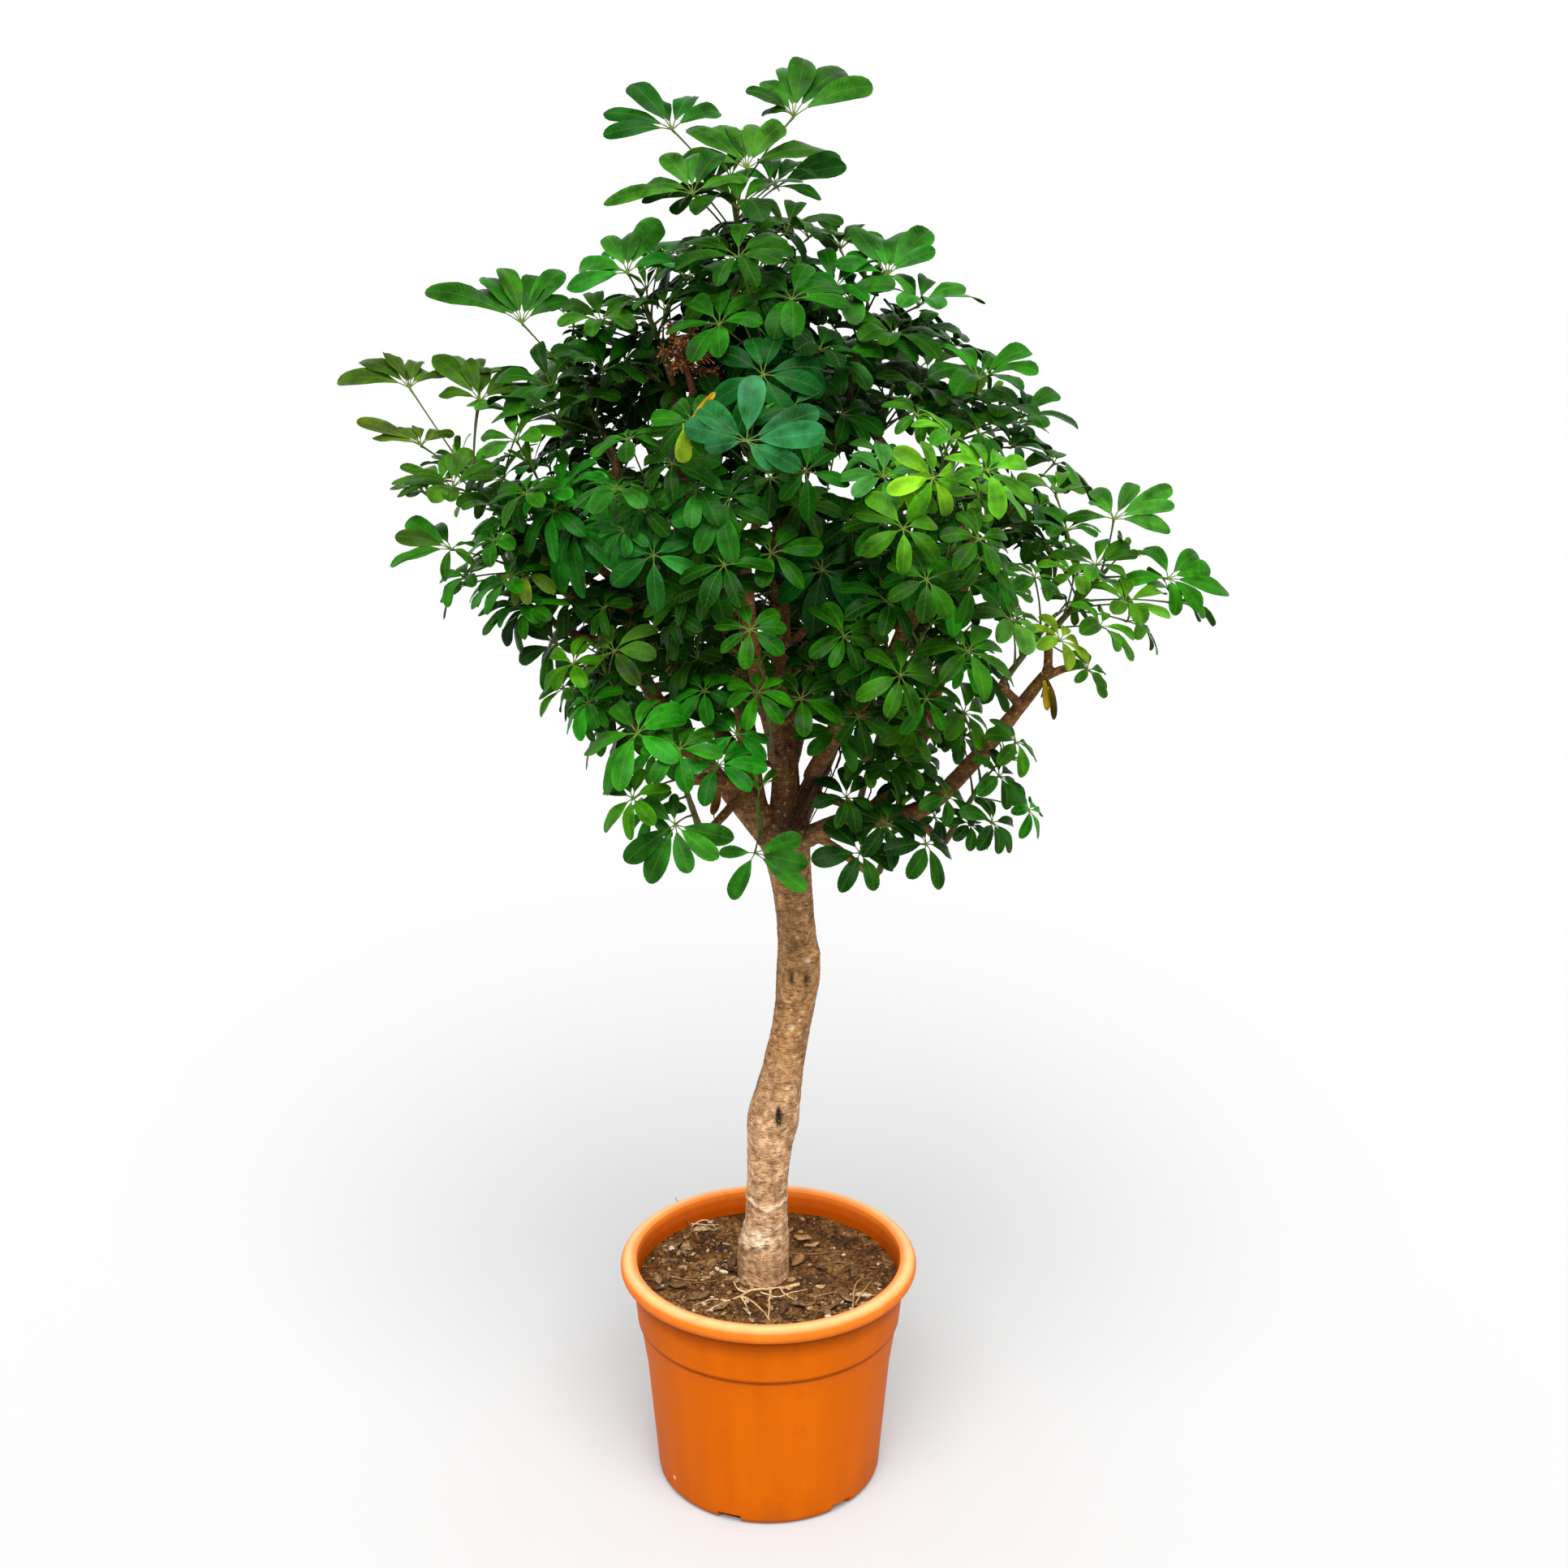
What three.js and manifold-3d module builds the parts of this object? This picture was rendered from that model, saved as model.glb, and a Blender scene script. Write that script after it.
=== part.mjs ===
// A tall umbrella plant grown as a small tree, standing in a round plastic pot filled with soil.
// Millimetres, +Z up, origin at the centre of the pot's underside; the side at -Y faces the viewer.
import * as THREE from 'three';
import { mergeVertices } from 'three/addons/utils/BufferGeometryUtils.js';
import Module from 'manifold-3d';

const wasm = await Module();
wasm.setup();

// ---- Driving dimensions ------------------------------------------------------------------

const POT_SIDES = 22;              // facets round the pot and the soil
const POT_HEIGHT = 320;
const POT_FLOOR = 3;               // thickness of the pot's floor
const RIM = { radius: 188.5, height: 308.5, roll: 11.5, mouth: 177 };   // the rolled lip
const RIM_TURN = [-80, 100];       // degrees swept by the roll, from under the lip to its top
const POT_OUTSIDE = [[145, 0], [150, 2.5], [153, 9], [166, 167], [175, 229], [178, 232], [184, 297]];
const POT_INSIDE = [[176, 300], [172, 232], [163, 167], [151, 32], [138.5, 14], [136, POT_FLOOR]];
const NOTCH = { count: 6, width: 27, height: 12, depth: 12, turn: -20 };  // drainage notches

const FIT = 0.35;                  // clearance left round what stands in or beside another piece
const WALL_FIT = FIT * 1.1;        // the same measured out to the facets' corners
const SOIL_LEVEL = 286;

const TRUNK_SIDES = 10;
const TRUNK_FOOT = { height: 180, x: -7, radius: 31.5 };
// The trunk's bends and swellings: height, sideways place, diameter.
const TRUNK = [
  [334, -6.5, 64], [370, -3, 57], [432, -1, 54], [480, 2, 59], [522, 7, 68], [555, 13, 60],
  [597, 20.5, 53], [666, 33, 50], [734, 40, 56], [779, 37.5, 49], [840, 32, 50], [900, 24, 58],
];

// Roots that lie on the soil: where each ends in plan, beside the pot's centre.
const ROOT_ENDS = [[-66, -52], [-34, -98], [14, -104], [50, -72]];
const ROOT_RADII = [4, 1.8];

const LIMB_SIDES = 4;
const TWIG_SIDES = 3;
const TWIG_DROP = 40;              // a twig leaves its limb at least this far below its shoot
const TWIG_END_RADIUS = 4.2;       // woody twig where a green shoot takes over
const SHOOT_TIP_RADIUS = 2.6;
const SHOOT_LENGTH = 95;
const CROWN_REACH = 420;           // from the trunk to the edge of the crown
const SHOOT_LEAN = 0.9;            // how far a shoot at that edge leans out
const STALK_RADIUS = 1.35;         // leaf stalk
const STALK_LENGTH = 105;
const BLADE_THICKNESS = 1;
const NOTCH_REACH = 0.1;           // where the notches between leaflets end, as a share of the reach
const WIDEST = 0.62;               // where a leaflet is widest, as a share of the reach
const HALF_WIDTH = { 4: 0.32, 5: 0.27, 7: 0.2 };   // by leaflet count, as a share of the reach
const RISE = [0.95, 0.4];          // slope of a leaflet at the hub: leaf flat to the sky, leaf upright
const DROOP = [0.62, 0.52];        // how far its tip arches down again, likewise
const ROOT_SPAN = [0.25, 0.95];    // stretch of a shoot that its stalks grow from
const SPIRAL_DROP = 14;            // from one hidden leaf down to the next
const SMALL_RADIUS = 72;           // a head smaller than this has four leaflets
const HIDDEN_RADIUS = [66, 84];    // reach of the heads that don't show
const GROWTH = 1.06;               // leaf reach over the reach that shows
const GOLDEN_TURN = 2.4;           // radians from one leaf to the next round a stem
const TRIES = 30;                  // places tried for a leaf that meets another piece
const TRY_SLIDE = 9;
const TRY_STEP = 0.7;
const ROOT_REACH = 14;             // stalks of one shoot may meet this near their roots
const LEAF_GAP = 0.5;              // least clearance between leaves of different shoots

// Where the eye stands. Heads, limbs and shoots are given as seen from there against the upright
// plane through the trunk, with their true depth beside it (negative is nearer the eye).
const EYE = new THREE.Vector3(21, -2400, 1672);

// Limbs: seen x, seen height, depth, radius.
const LIMBS = {
  leader: [[21, 880, 0, 25], [23, 1000, 0, 16.5], [18, 1120, 0, 13], [16, 1283, 0, 11],
    [20, 1330, 4, 10], [2, 1450, 4, 8.5], [-18, 1545, 4, 6.5]],
  left: [[14, 885, -5, 16], [-13, 950, -10, 14], [-25, 1038, -15, 12.5], [-50, 1200, -30, 10],
    [-84, 1310, -24, 8.5], [-116, 1410, -14, 6.5]],
  left_outer: [[0, 905, -5, 12], [-60, 985, 0, 11], [-156, 1122, 0, 9], [-172, 1200, 0, 8],
    [-192, 1318, 0, 6.5]],
  left_low: [[-150, 1112, 0, 8], [-205, 1190, -8, 7.5], [-290, 1262, -5, 6]],
  right: [[24, 900, 5, 16], [83, 1041, 12, 12], [132, 1169, 18, 10.5], [158, 1270, 20, 8.5],
    [155, 1375, 8, 6.5]],
  right_low: [[24, 895, -5, 14], [88, 926, -12, 12.5], [193, 946, -20, 11], [264, 1015, -15, 10],
    [345, 1120, 0, 7]],
  right_outer: [[122, 934, -14, 9], [177, 1000, 10, 9], [224, 1155, 20, 8], [250, 1275, 6, 6.5]],
  front: [[20, 985, -4, 12], [6, 1055, -75, 11], [-18, 1150, -175, 9.5], [-26, 1255, -222, 6.5]],
  front_left: [[-12, 960, -14, 9], [-60, 985, -80, 8], [-98, 985, -140, 6]],
  front_right: [[56, 990, 6, 11], [90, 1050, -85, 10], [150, 1135, -185, 8.5], [182, 1215, -220, 6.5]],
  back: [[22, 985, 4, 12], [38, 1060, 85, 11], [32, 1190, 180, 9], [14, 1300, 205, 6.5]],
  back_left: [[-20, 995, -8, 11], [-80, 1075, 75, 10], [-150, 1180, 155, 8], [-185, 1255, 165, 6.5]],
  back_right: [[66, 1010, 10, 11], [115, 1080, 85, 10], [190, 1180, 160, 8], [228, 1255, 172, 6.5]],
};

// Shoots: the limb each grows from, the seen place and depth of its tip, and its leaf heads.
// A head is seen x, seen height, seen radius, then what differs from the rule: depth, how far it
// faces outward (0 is flat to the sky), how steeply its leaflets rise, and its leaflet count.
const SHOOTS = {
  crown_top: { limb: 'leader', tip: [-38, 1690, 0], facing: -0.05, heads: [
    [32, 1779, 105, { rise: 1.2, facing: 0.1, leaflets: 7 }],
    [-108, 1765, 85, { rise: 1.1, leaflets: 7 }],
    [-22, 1722, 100, { rise: 1.15, depth: -60, leaflets: 7 }],
    [8, 1703, 92, { depth: 50 }],
    [-88, 1700, 100, { leaflets: 7 }],
    [24, 1650, 66, { depth: -55 }],
  ] },
  upper_left: { limb: 'left', tip: [-140, 1560, -20], facing: 0.1, heads: [
    [-163, 1605, 85, {}], [-127, 1612, 75, { depth: 40 }], [-120, 1562, 62, {}],
    [-95, 1595, 72, {}], [-195, 1548, 58, {}],
  ] },
  upper_right: { limb: 'right', tip: [118, 1560, 0], facing: 0.1, heads: [
    [142, 1602, 85, {}], [87, 1632, 60, { depth: 30 }], [80, 1585, 62, {}],
    [180, 1567, 70, {}], [150, 1532, 65, { depth: -80 }], [180, 1518, 62, {}],
  ] },
  left_high: { limb: 'left_outer', tip: [-228, 1478, 0], facing: -0.1, heads: [
    [-289, 1547, 118, { leaflets: 7 }], [-228, 1548, 60, { depth: 50 }], [-249, 1434, 85, {}],
    [-195, 1490, 70, {}],
  ] },
  left_far: { limb: 'left_low', tip: [-358, 1362, 0], facing: -0.1, heads: [
    [-426, 1472, 93, {}], [-344, 1455, 88, { depth: -30 }],
    [-340, 1480, 60, { depth: 60, rise: 0.9 }], [-416, 1405, 82, {}], [-395, 1358, 62, {}],
    [-325, 1325, 60, {}],
  ] },
  left_low: { limb: 'left_low', tip: [-318, 1262, -30], facing: 0.6, heads: [
    [-385, 1278, 80, { facing: 0.2 }], [-330, 1290, 48, {}], [-315, 1238, 60, {}],
    [-290, 1205, 50, {}],
  ] },
  left_inner: { limb: 'left_outer', tip: [-272, 1352, -60], facing: 0.5, heads: [
    [-300, 1408, 58, {}], [-262, 1378, 52, { depth: 20 }], [-290, 1345, 52, {}],
    [-248, 1350, 66, { depth: -130 }], [-232, 1305, 80, { facing: 1.1, rise: 0.1 }],
  ] },
  front_top: { limb: 'leader', tip: [2, 1500, -120], facing: 0.7, heads: [
    [-4, 1487, 80, { depth: -230, facing: 1.1 }], [30, 1574, 70, {}], [-55, 1545, 66, {}],
    [-32, 1622, 74, { depth: -165 }],
    [62, 1515, 68, {}],
  ] },
  front_centre: { limb: 'front', tip: [-20, 1405, -235], facing: 0.9, heads: [
    [-24, 1409, 85, { depth: -330, facing: 1.6, leaflets: 7 }], [47, 1372, 52, {}],
    [-88, 1430, 55, {}], [28, 1440, 60, {}],
  ] },
  front_left_mid: { limb: 'left', tip: [-132, 1325, -200], facing: 0.9, heads: [
    [-138, 1271, 68, { facing: 1.4 }], [-166, 1410, 52, {}], [-180, 1350, 60, {}],
    [-113, 1381, 58, {}], [-84, 1350, 58, {}],
  ] },
  bright_right: { limb: 'front_right', tip: [208, 1362, -220], facing: 0.8, heads: [
    [220, 1412, 60, { depth: -250 }], [200, 1365, 56, { depth: -310, facing: 1.2 }],
    [266, 1373, 63, {}], [141, 1366, 54, {}], [255, 1418, 62, { depth: -130 }],
  ] },
  right_upper: { limb: 'right_outer', tip: [248, 1442, -30], facing: 0.1, heads: [
    [253, 1480, 76, {}], [308, 1438, 62, {}], [180, 1468, 60, {}], [225, 1440, 58, {}],
  ] },
  right_mid_front: { limb: 'front_right', tip: [226, 1276, -262], facing: 0.9, heads: [
    [166, 1303, 63, {}], [258, 1290, 54, {}], [196, 1240, 52, {}],
  ] },
  right_far: { limb: 'right_low', tip: [412, 1248, 0], facing: 0.2, heads: [
    [422, 1315, 74, { leaflets: 7 }], [492, 1242, 78, { leaflets: 7, depth: -30 }],
    [498, 1212, 60, { depth: 45 }], [440, 1210, 53, {}], [376, 1245, 50, {}], [365, 1299, 52, {}],
    [350, 1345, 48, { depth: 40 }],
  ] },
  right_mid: { limb: 'right_low', tip: [350, 1190, -60], facing: 0.7, heads: [
    [300, 1190, 60, { depth: -150 }], [411, 1182, 54, {}], [362, 1166, 50, {}], [328, 1243, 48, {}],
  ] },
  centre_low: { limb: 'front', tip: [-42, 1262, -215], facing: 0.9, heads: [
    [-53, 1327, 68, {}], [-52, 1258, 60, { depth: -300 }], [6, 1272, 60, {}],
    [-15, 1170, 55, { facing: 1.3 }],
  ] },
  right_low_front: { limb: 'front_right', tip: [190, 1165, -220], facing: 0.9, heads: [
    [165, 1120, 60, { facing: 1.3 }], [248, 1150, 65, {}], [150, 1212, 62, {}],
    [95, 1170, 56, {}],
  ] },
  low_centre: { limb: 'front', tip: [0, 1108, -165], facing: 0.9, heads: [
    [42, 1090, 58, {}], [-12, 1098, 48, { depth: -250 }], [-38, 1044, 50, {}], [-78, 1100, 50, {}],
  ] },
  low_left: { limb: 'front_left', tip: [-112, 1000, -190], facing: 0.9, heads: [
    [-162, 1045, 78, { leaflets: 7 }], [-110, 1025, 58, { depth: -260 }], [-62, 1003, 62, {}],
    [-117, 926, 78, { facing: 1.7, rise: 0.1, leaflets: 7 }], [-170, 962, 54, {}],
  ] },
  low_left_outer: { limb: 'left_outer', tip: [-200, 1125, -70], facing: 0.8, heads: [
    [-240, 1134, 52, {}], [-188, 1150, 60, { depth: -150 }], [-222, 1085, 52, {}],
    [-200, 1205, 44, {}],
  ] },
  fork_front: { limb: 'left', tip: [-12, 952, -62], length: 50, facing: 1.2, heads: [
    [-16, 888, 70, { depth: -120, rise: 0, leaflets: 7 }],
  ] },
  low_right: { limb: 'right_low', tip: [160, 918, -70], length: 60, facing: 1, heads: [
    [202, 900, 57, {}], [150, 925, 54, { depth: -140 }], [118, 888, 60, {}], [100, 962, 48, {}],
    [226, 963, 50, {}],
  ] },
  low_right_outer: { limb: 'right_low', tip: [272, 985, -50], facing: 0.9, heads: [
    [285, 930, 48, {}], [312, 1034, 46, {}], [292, 990, 46, { depth: -120 }], [246, 1072, 60, {}],
  ] },
  inner_right: { limb: 'right', tip: [140, 1045, -60], facing: 0.8, heads: [
    [182, 1050, 50, {}], [152, 1002, 44, {}], [90, 1044, 55, {}], [130, 1098, 52, {}],
  ] },
  inner_centre: { limb: 'leader', tip: [62, 1285, -110], facing: 0.8, heads: [
    [68, 1252, 75, { facing: 1.3 }], [42, 1330, 58, {}], [100, 1310, 60, {}], [90, 1440, 62, {}],
  ] },
  back_top: { limb: 'leader', tip: [-10, 1585, 110], facing: 0.4, spiral: 3 },
  back_high_left: { limb: 'back_left', tip: [-165, 1460, 140], facing: 0.6, spiral: 3 },
  back_high_right: { limb: 'back_right', tip: [150, 1470, 150], facing: 0.6, spiral: 3 },
  back_middle: { limb: 'back', tip: [-10, 1440, 260], facing: 0.8, spiral: 4 },
  back_left: { limb: 'back_left', tip: [-270, 1320, 170], facing: 0.7, spiral: 4 },
  back_right: { limb: 'back_right', tip: [290, 1320, 160], facing: 0.7, spiral: 4 },
  back_mid_left: { limb: 'back_left', tip: [-110, 1270, 265], facing: 0.9, spiral: 4 },
  back_mid_right: { limb: 'back_right', tip: [130, 1260, 270], facing: 0.9, spiral: 4 },
  back_low: { limb: 'back', tip: [20, 1110, 215], facing: 0.9, spiral: 3 },
  back_low_left: { limb: 'back_left', tip: [-145, 1080, 150], facing: 0.9, spiral: 3 },
  back_low_right: { limb: 'back_right', tip: [190, 1080, 170], facing: 0.9, spiral: 3 },
};

// The dried flower head: its limb, the seen place and depth of its top, its rays and their reach.
const SPENT_FLOWER = {
  limb: 'left', tip: [-101, 1518, -100], length: 50, rays: 9, reach: [24, 36], rayRadii: [1.8, 1.1],
};

// ---- Helpers -----------------------------------------------------------------------------

const UP = new THREE.Vector3(0, 0, 1);

// A seeded generator of numbers from 0 to 1, so that every build grows the same plant.
function seeded(seed) {
  let state = seed >>> 0;
  return () => {
    state = (state + 0x6d2b79f5) >>> 0;
    let bits = state;
    bits = Math.imul(bits ^ (bits >>> 15), bits | 1);
    bits ^= bits + Math.imul(bits ^ (bits >>> 7), bits | 61);
    return ((bits ^ (bits >>> 14)) >>> 0) / 4294967296;
  };
}

function vec(x, y, z) {
  return new THREE.Vector3(x, y, z);
}

// Moves a point seen against the upright plane through the trunk to its true depth.
function seenAt(x, z, depth) {
  const nearness = 1 + depth / -EYE.y;
  return vec(EYE.x + (x - EYE.x) * nearness, depth, EYE.z + (z - EYE.z) * nearness);
}

function surface(points, faces) {
  const geometry = new THREE.BufferGeometry();
  const numbers = points.flatMap((p) => p.toArray());
  geometry.setAttribute('position', new THREE.Float32BufferAttribute(numbers, 3));
  geometry.setIndex(faces.flat());
  return geometry;
}

function toSolid(geometry) {
  const bare = geometry.clone();
  bare.deleteAttribute('normal');
  bare.deleteAttribute('uv');
  const merged = mergeVertices(bare, 1e-4);
  return new wasm.Manifold(new wasm.Mesh({
    numProp: 3,
    vertProperties: new Float32Array(merged.attributes.position.array),
    triVerts: new Uint32Array(merged.index.array),
  }));
}

function toMesh(solid, name, material) {
  const result = solid.getMesh();
  const geometry = new THREE.BufferGeometry();
  const numbers = new Float32Array(result.vertProperties);
  geometry.setAttribute('position', new THREE.BufferAttribute(numbers, 3));
  geometry.setIndex(new THREE.BufferAttribute(new Uint32Array(result.triVerts), 1));
  geometry.computeVertexNormals();
  const mesh = new THREE.Mesh(geometry, material);
  mesh.name = name;
  return mesh;
}

function join(solids) {
  return solids.reduce((whole, piece) => whole.add(piece));
}

// A closed solid of revolution about Z; the profile runs from the axis back to the axis.
function turned(profile, sides) {
  const lathe = new THREE.LatheGeometry(profile.map(([r, z]) => new THREE.Vector2(r, z)), sides);
  return lathe.rotateX(Math.PI / 2);
}

// The curve through stations of [x, y, z, radius].
function pathThrough(stations) {
  const points = stations.map(([x, y, z]) => vec(x, y, z));
  return new THREE.CatmullRomCurve3(points, false, 'centripetal');
}

// A closed tapering limb through stations. Its end face is square to the heading given for it,
// where one is.
function limbSolid(stations, sides, rings, endHeading) {
  const path = pathThrough(stations);
  const chord = path.getPoint(1).sub(path.getPoint(0)).normalize();
  const across = Math.abs(chord.x) < 0.6 ? vec(1, 0, 0) : vec(0, 1, 0);
  const points = [];
  const faces = [];
  for (let ring = 0; ring <= rings; ring++) {
    const along = ring / rings;
    const centre = path.getPoint(along);
    const heading = ring === rings && endHeading ? endHeading : path.getTangent(along);
    const station = Math.min(Math.floor(along * (stations.length - 1)), stations.length - 2);
    const between = along * (stations.length - 1) - station;
    const radius = THREE.MathUtils.lerp(stations[station][3], stations[station + 1][3], between);
    const side = across.clone().cross(heading).normalize();
    const front = heading.clone().cross(side);
    for (let s = 0; s < sides; s++) {
      const turn = (2 * Math.PI * s) / sides;
      points.push(centre.clone()
        .addScaledVector(side, radius * Math.cos(turn))
        .addScaledVector(front, radius * Math.sin(turn)));
    }
  }
  for (let ring = 0; ring < rings; ring++) {
    for (let s = 0; s < sides; s++) {
      const a = ring * sides + s;
      const b = ring * sides + (s + 1) % sides;
      faces.push([a, b, b + sides], [a, b + sides, a + sides]);
    }
  }
  const top = rings * sides;
  for (let s = 1; s < sides - 1; s++) {
    faces.push([0, s + 1, s], [top, top + s, top + s + 1]);
  }
  return toSolid(surface(points, faces));
}

// ---- Pot and soil ------------------------------------------------------------------------

function potSolid() {
  const roll = [];
  const steps = 3;
  for (let i = 0; i <= steps; i++) {
    const turn = THREE.MathUtils.degToRad(THREE.MathUtils.lerp(...RIM_TURN, i / steps));
    roll.push([RIM.radius + RIM.roll * Math.cos(turn), RIM.height + RIM.roll * Math.sin(turn)]);
  }
  const lip = [[RIM.mouth + 2, POT_HEIGHT - 2], [RIM.mouth, POT_HEIGHT - 8]];
  const profile = [[0, 0], ...POT_OUTSIDE, ...roll, ...lip, ...POT_INSIDE, [0, POT_FLOOR]];
  let pot = toSolid(turned(profile, POT_SIDES));
  const cutter = new THREE.BoxGeometry(NOTCH.width, NOTCH.depth * 4, NOTCH.height * 2);
  for (let i = 0; i < NOTCH.count; i++) {
    const turn = THREE.MathUtils.degToRad(NOTCH.turn + (360 / NOTCH.count) * i);
    const notch = cutter.clone().translate(0, -POT_OUTSIDE[2][0] - NOTCH.depth, 0).rotateZ(turn);
    pot = pot.subtract(toSolid(notch));
  }
  return pot;
}

// The straight foot of the trunk, up to a given height, with any clearance round it.
function trunkFoot(clearance, top) {
  const { height, x, radius } = TRUNK_FOOT;
  return limbSolid([
    [x, 0, height - clearance, radius + clearance],
    [x, 0, top, radius + clearance],
  ], TRUNK_SIDES, 1);
}

function soilSolid() {
  const [upper, lower, ...rest] = POT_INSIDE;
  const wall = rest.reverse().map(([r, z]) => [r - WALL_FIT, z]);
  wall[0][1] += FIT;
  const edge = THREE.MathUtils.mapLinear(SOIL_LEVEL, lower[1], upper[1], lower[0], upper[0]) - WALL_FIT;
  const surfaceLine = [[edge, SOIL_LEVEL - 1], [100, SOIL_LEVEL], [0, SOIL_LEVEL]];
  const profile = [[0, POT_FLOOR + FIT], ...wall, ...surfaceLine];
  return toSolid(turned(profile, POT_SIDES)).subtract(trunkFoot(WALL_FIT, SOIL_LEVEL + 20));
}

// ---- Wood --------------------------------------------------------------------------------

function limbStations(name) {
  return LIMBS[name].map(([x, z, depth, radius]) => [...seenAt(x, z, depth).toArray(), radius]);
}

// The stem of a shoot: it leans out of the crown and ends at the tip that was read.
function shootStem(shoot) {
  const tip = seenAt(...shoot.tip);
  const outward = vec(tip.x - EYE.x, tip.y, 0).divideScalar(CROWN_REACH);
  const heading = UP.clone().addScaledVector(outward, SHOOT_LEAN).normalize();
  const foot = tip.clone().addScaledVector(heading, -(shoot.length ?? SHOOT_LENGTH));
  return { tip, foot, heading };
}

// A woody twig from its limb to the foot of a shoot. It leaves the limb below the shoot.
function twigStations(shoot, stem) {
  const stations = limbStations(shoot.limb);
  const path = pathThrough(stations);
  const end = stem.foot.clone().addScaledVector(stem.heading, -FIT);
  let start = 1;
  let best = Infinity;
  for (let along = 0.1; along <= 1; along += 0.05) {
    const point = path.getPoint(along);
    const drop = end.z - point.z;
    const cost = point.distanceTo(end) + 3 * Math.max(0, TWIG_DROP - drop);
    if (cost < best) {
      best = cost;
      start = along;
    }
  }
  const from = path.getPoint(start);
  const reach = from.distanceTo(end);
  const leaving = path.getTangent(start).multiplyScalar(reach * 0.25).add(from);
  const arriving = end.clone().addScaledVector(stem.heading, -reach * 0.35);
  const bend = new THREE.CubicBezierCurve3(from, leaving, arriving, end);
  return [0, 0.5, 1].map((t) => [
    ...bend.getPoint(t).toArray(),
    THREE.MathUtils.lerp(TWIG_END_RADIUS + 1.4, TWIG_END_RADIUS, t),
  ]);
}

// A root that lies on the soil, just clear of it, from inside the trunk's foot.
function surfaceRoot([x, y]) {
  const [thick, thin] = ROOT_RADII;
  const lying = SOIL_LEVEL + FIT;
  return limbSolid([
    [TRUNK_FOOT.x, 0, lying + thick, thick],
    [x * 0.6, y * 0.55, lying + thick, (thick + thin) / 2],
    [x, y, lying + thin, thin],
  ], TWIG_SIDES, 2);
}

function trunkSolid(stems) {
  const trunk = [
    [TRUNK_FOOT.x, 0, SOIL_LEVEL + 6, TRUNK_FOOT.radius],
    ...TRUNK.map(([z, x, diameter]) => [x, 0, z, diameter / 2]),
    [21, 0, 925, 22],
  ];
  const pieces = [trunkFoot(0, SOIL_LEVEL + 12), limbSolid(trunk, TRUNK_SIDES, trunk.length - 1)];
  for (const name of Object.keys(LIMBS)) {
    const stations = limbStations(name);
    pieces.push(limbSolid(stations, LIMB_SIDES, stations.length - 1));
  }
  const flowerStem = shootStem(SPENT_FLOWER);
  const grown = Object.entries(SHOOTS).map(([name, shoot]) => [shoot, stems[name]]);
  for (const [shoot, stem] of [...grown, [SPENT_FLOWER, flowerStem]]) {
    pieces.push(limbSolid(twigStations(shoot, stem), TWIG_SIDES, 2, stem.heading));
  }
  pieces.push(...ROOT_ENDS.map(surfaceRoot));
  return join(pieces);
}

// ---- Spent flower head --------------------------------------------------------------------

// A dry stalk whose thin rays stand out all round its top.
function spentFlowerSolid() {
  const { tip, foot } = shootStem(SPENT_FLOWER);
  const { rays, reach, rayRadii } = SPENT_FLOWER;
  const random = seeded(5);
  const pieces = [limbSolid([
    [...foot.toArray(), TWIG_END_RADIUS],
    [...tip.toArray(), SHOOT_TIP_RADIUS],
  ], TWIG_SIDES, 1)];
  for (let i = 0; i < rays; i++) {
    const turn = GOLDEN_TURN * i;
    const height = 0.9 - (1.3 * i) / rays;
    const level = Math.sqrt(1 - height * height);
    const direction = vec(level * Math.cos(turn), level * Math.sin(turn), height);
    const start = tip.clone().lerp(foot, 0.06 + 0.045 * i);
    const end = start.clone().addScaledVector(direction, THREE.MathUtils.lerp(...reach, random()));
    pieces.push(limbSolid([
      [...start.toArray(), rayRadii[0]],
      [...end.toArray(), rayRadii[1]],
    ], TWIG_SIDES, 1));
  }
  return join(pieces);
}

// ---- Leaves ------------------------------------------------------------------------------

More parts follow.
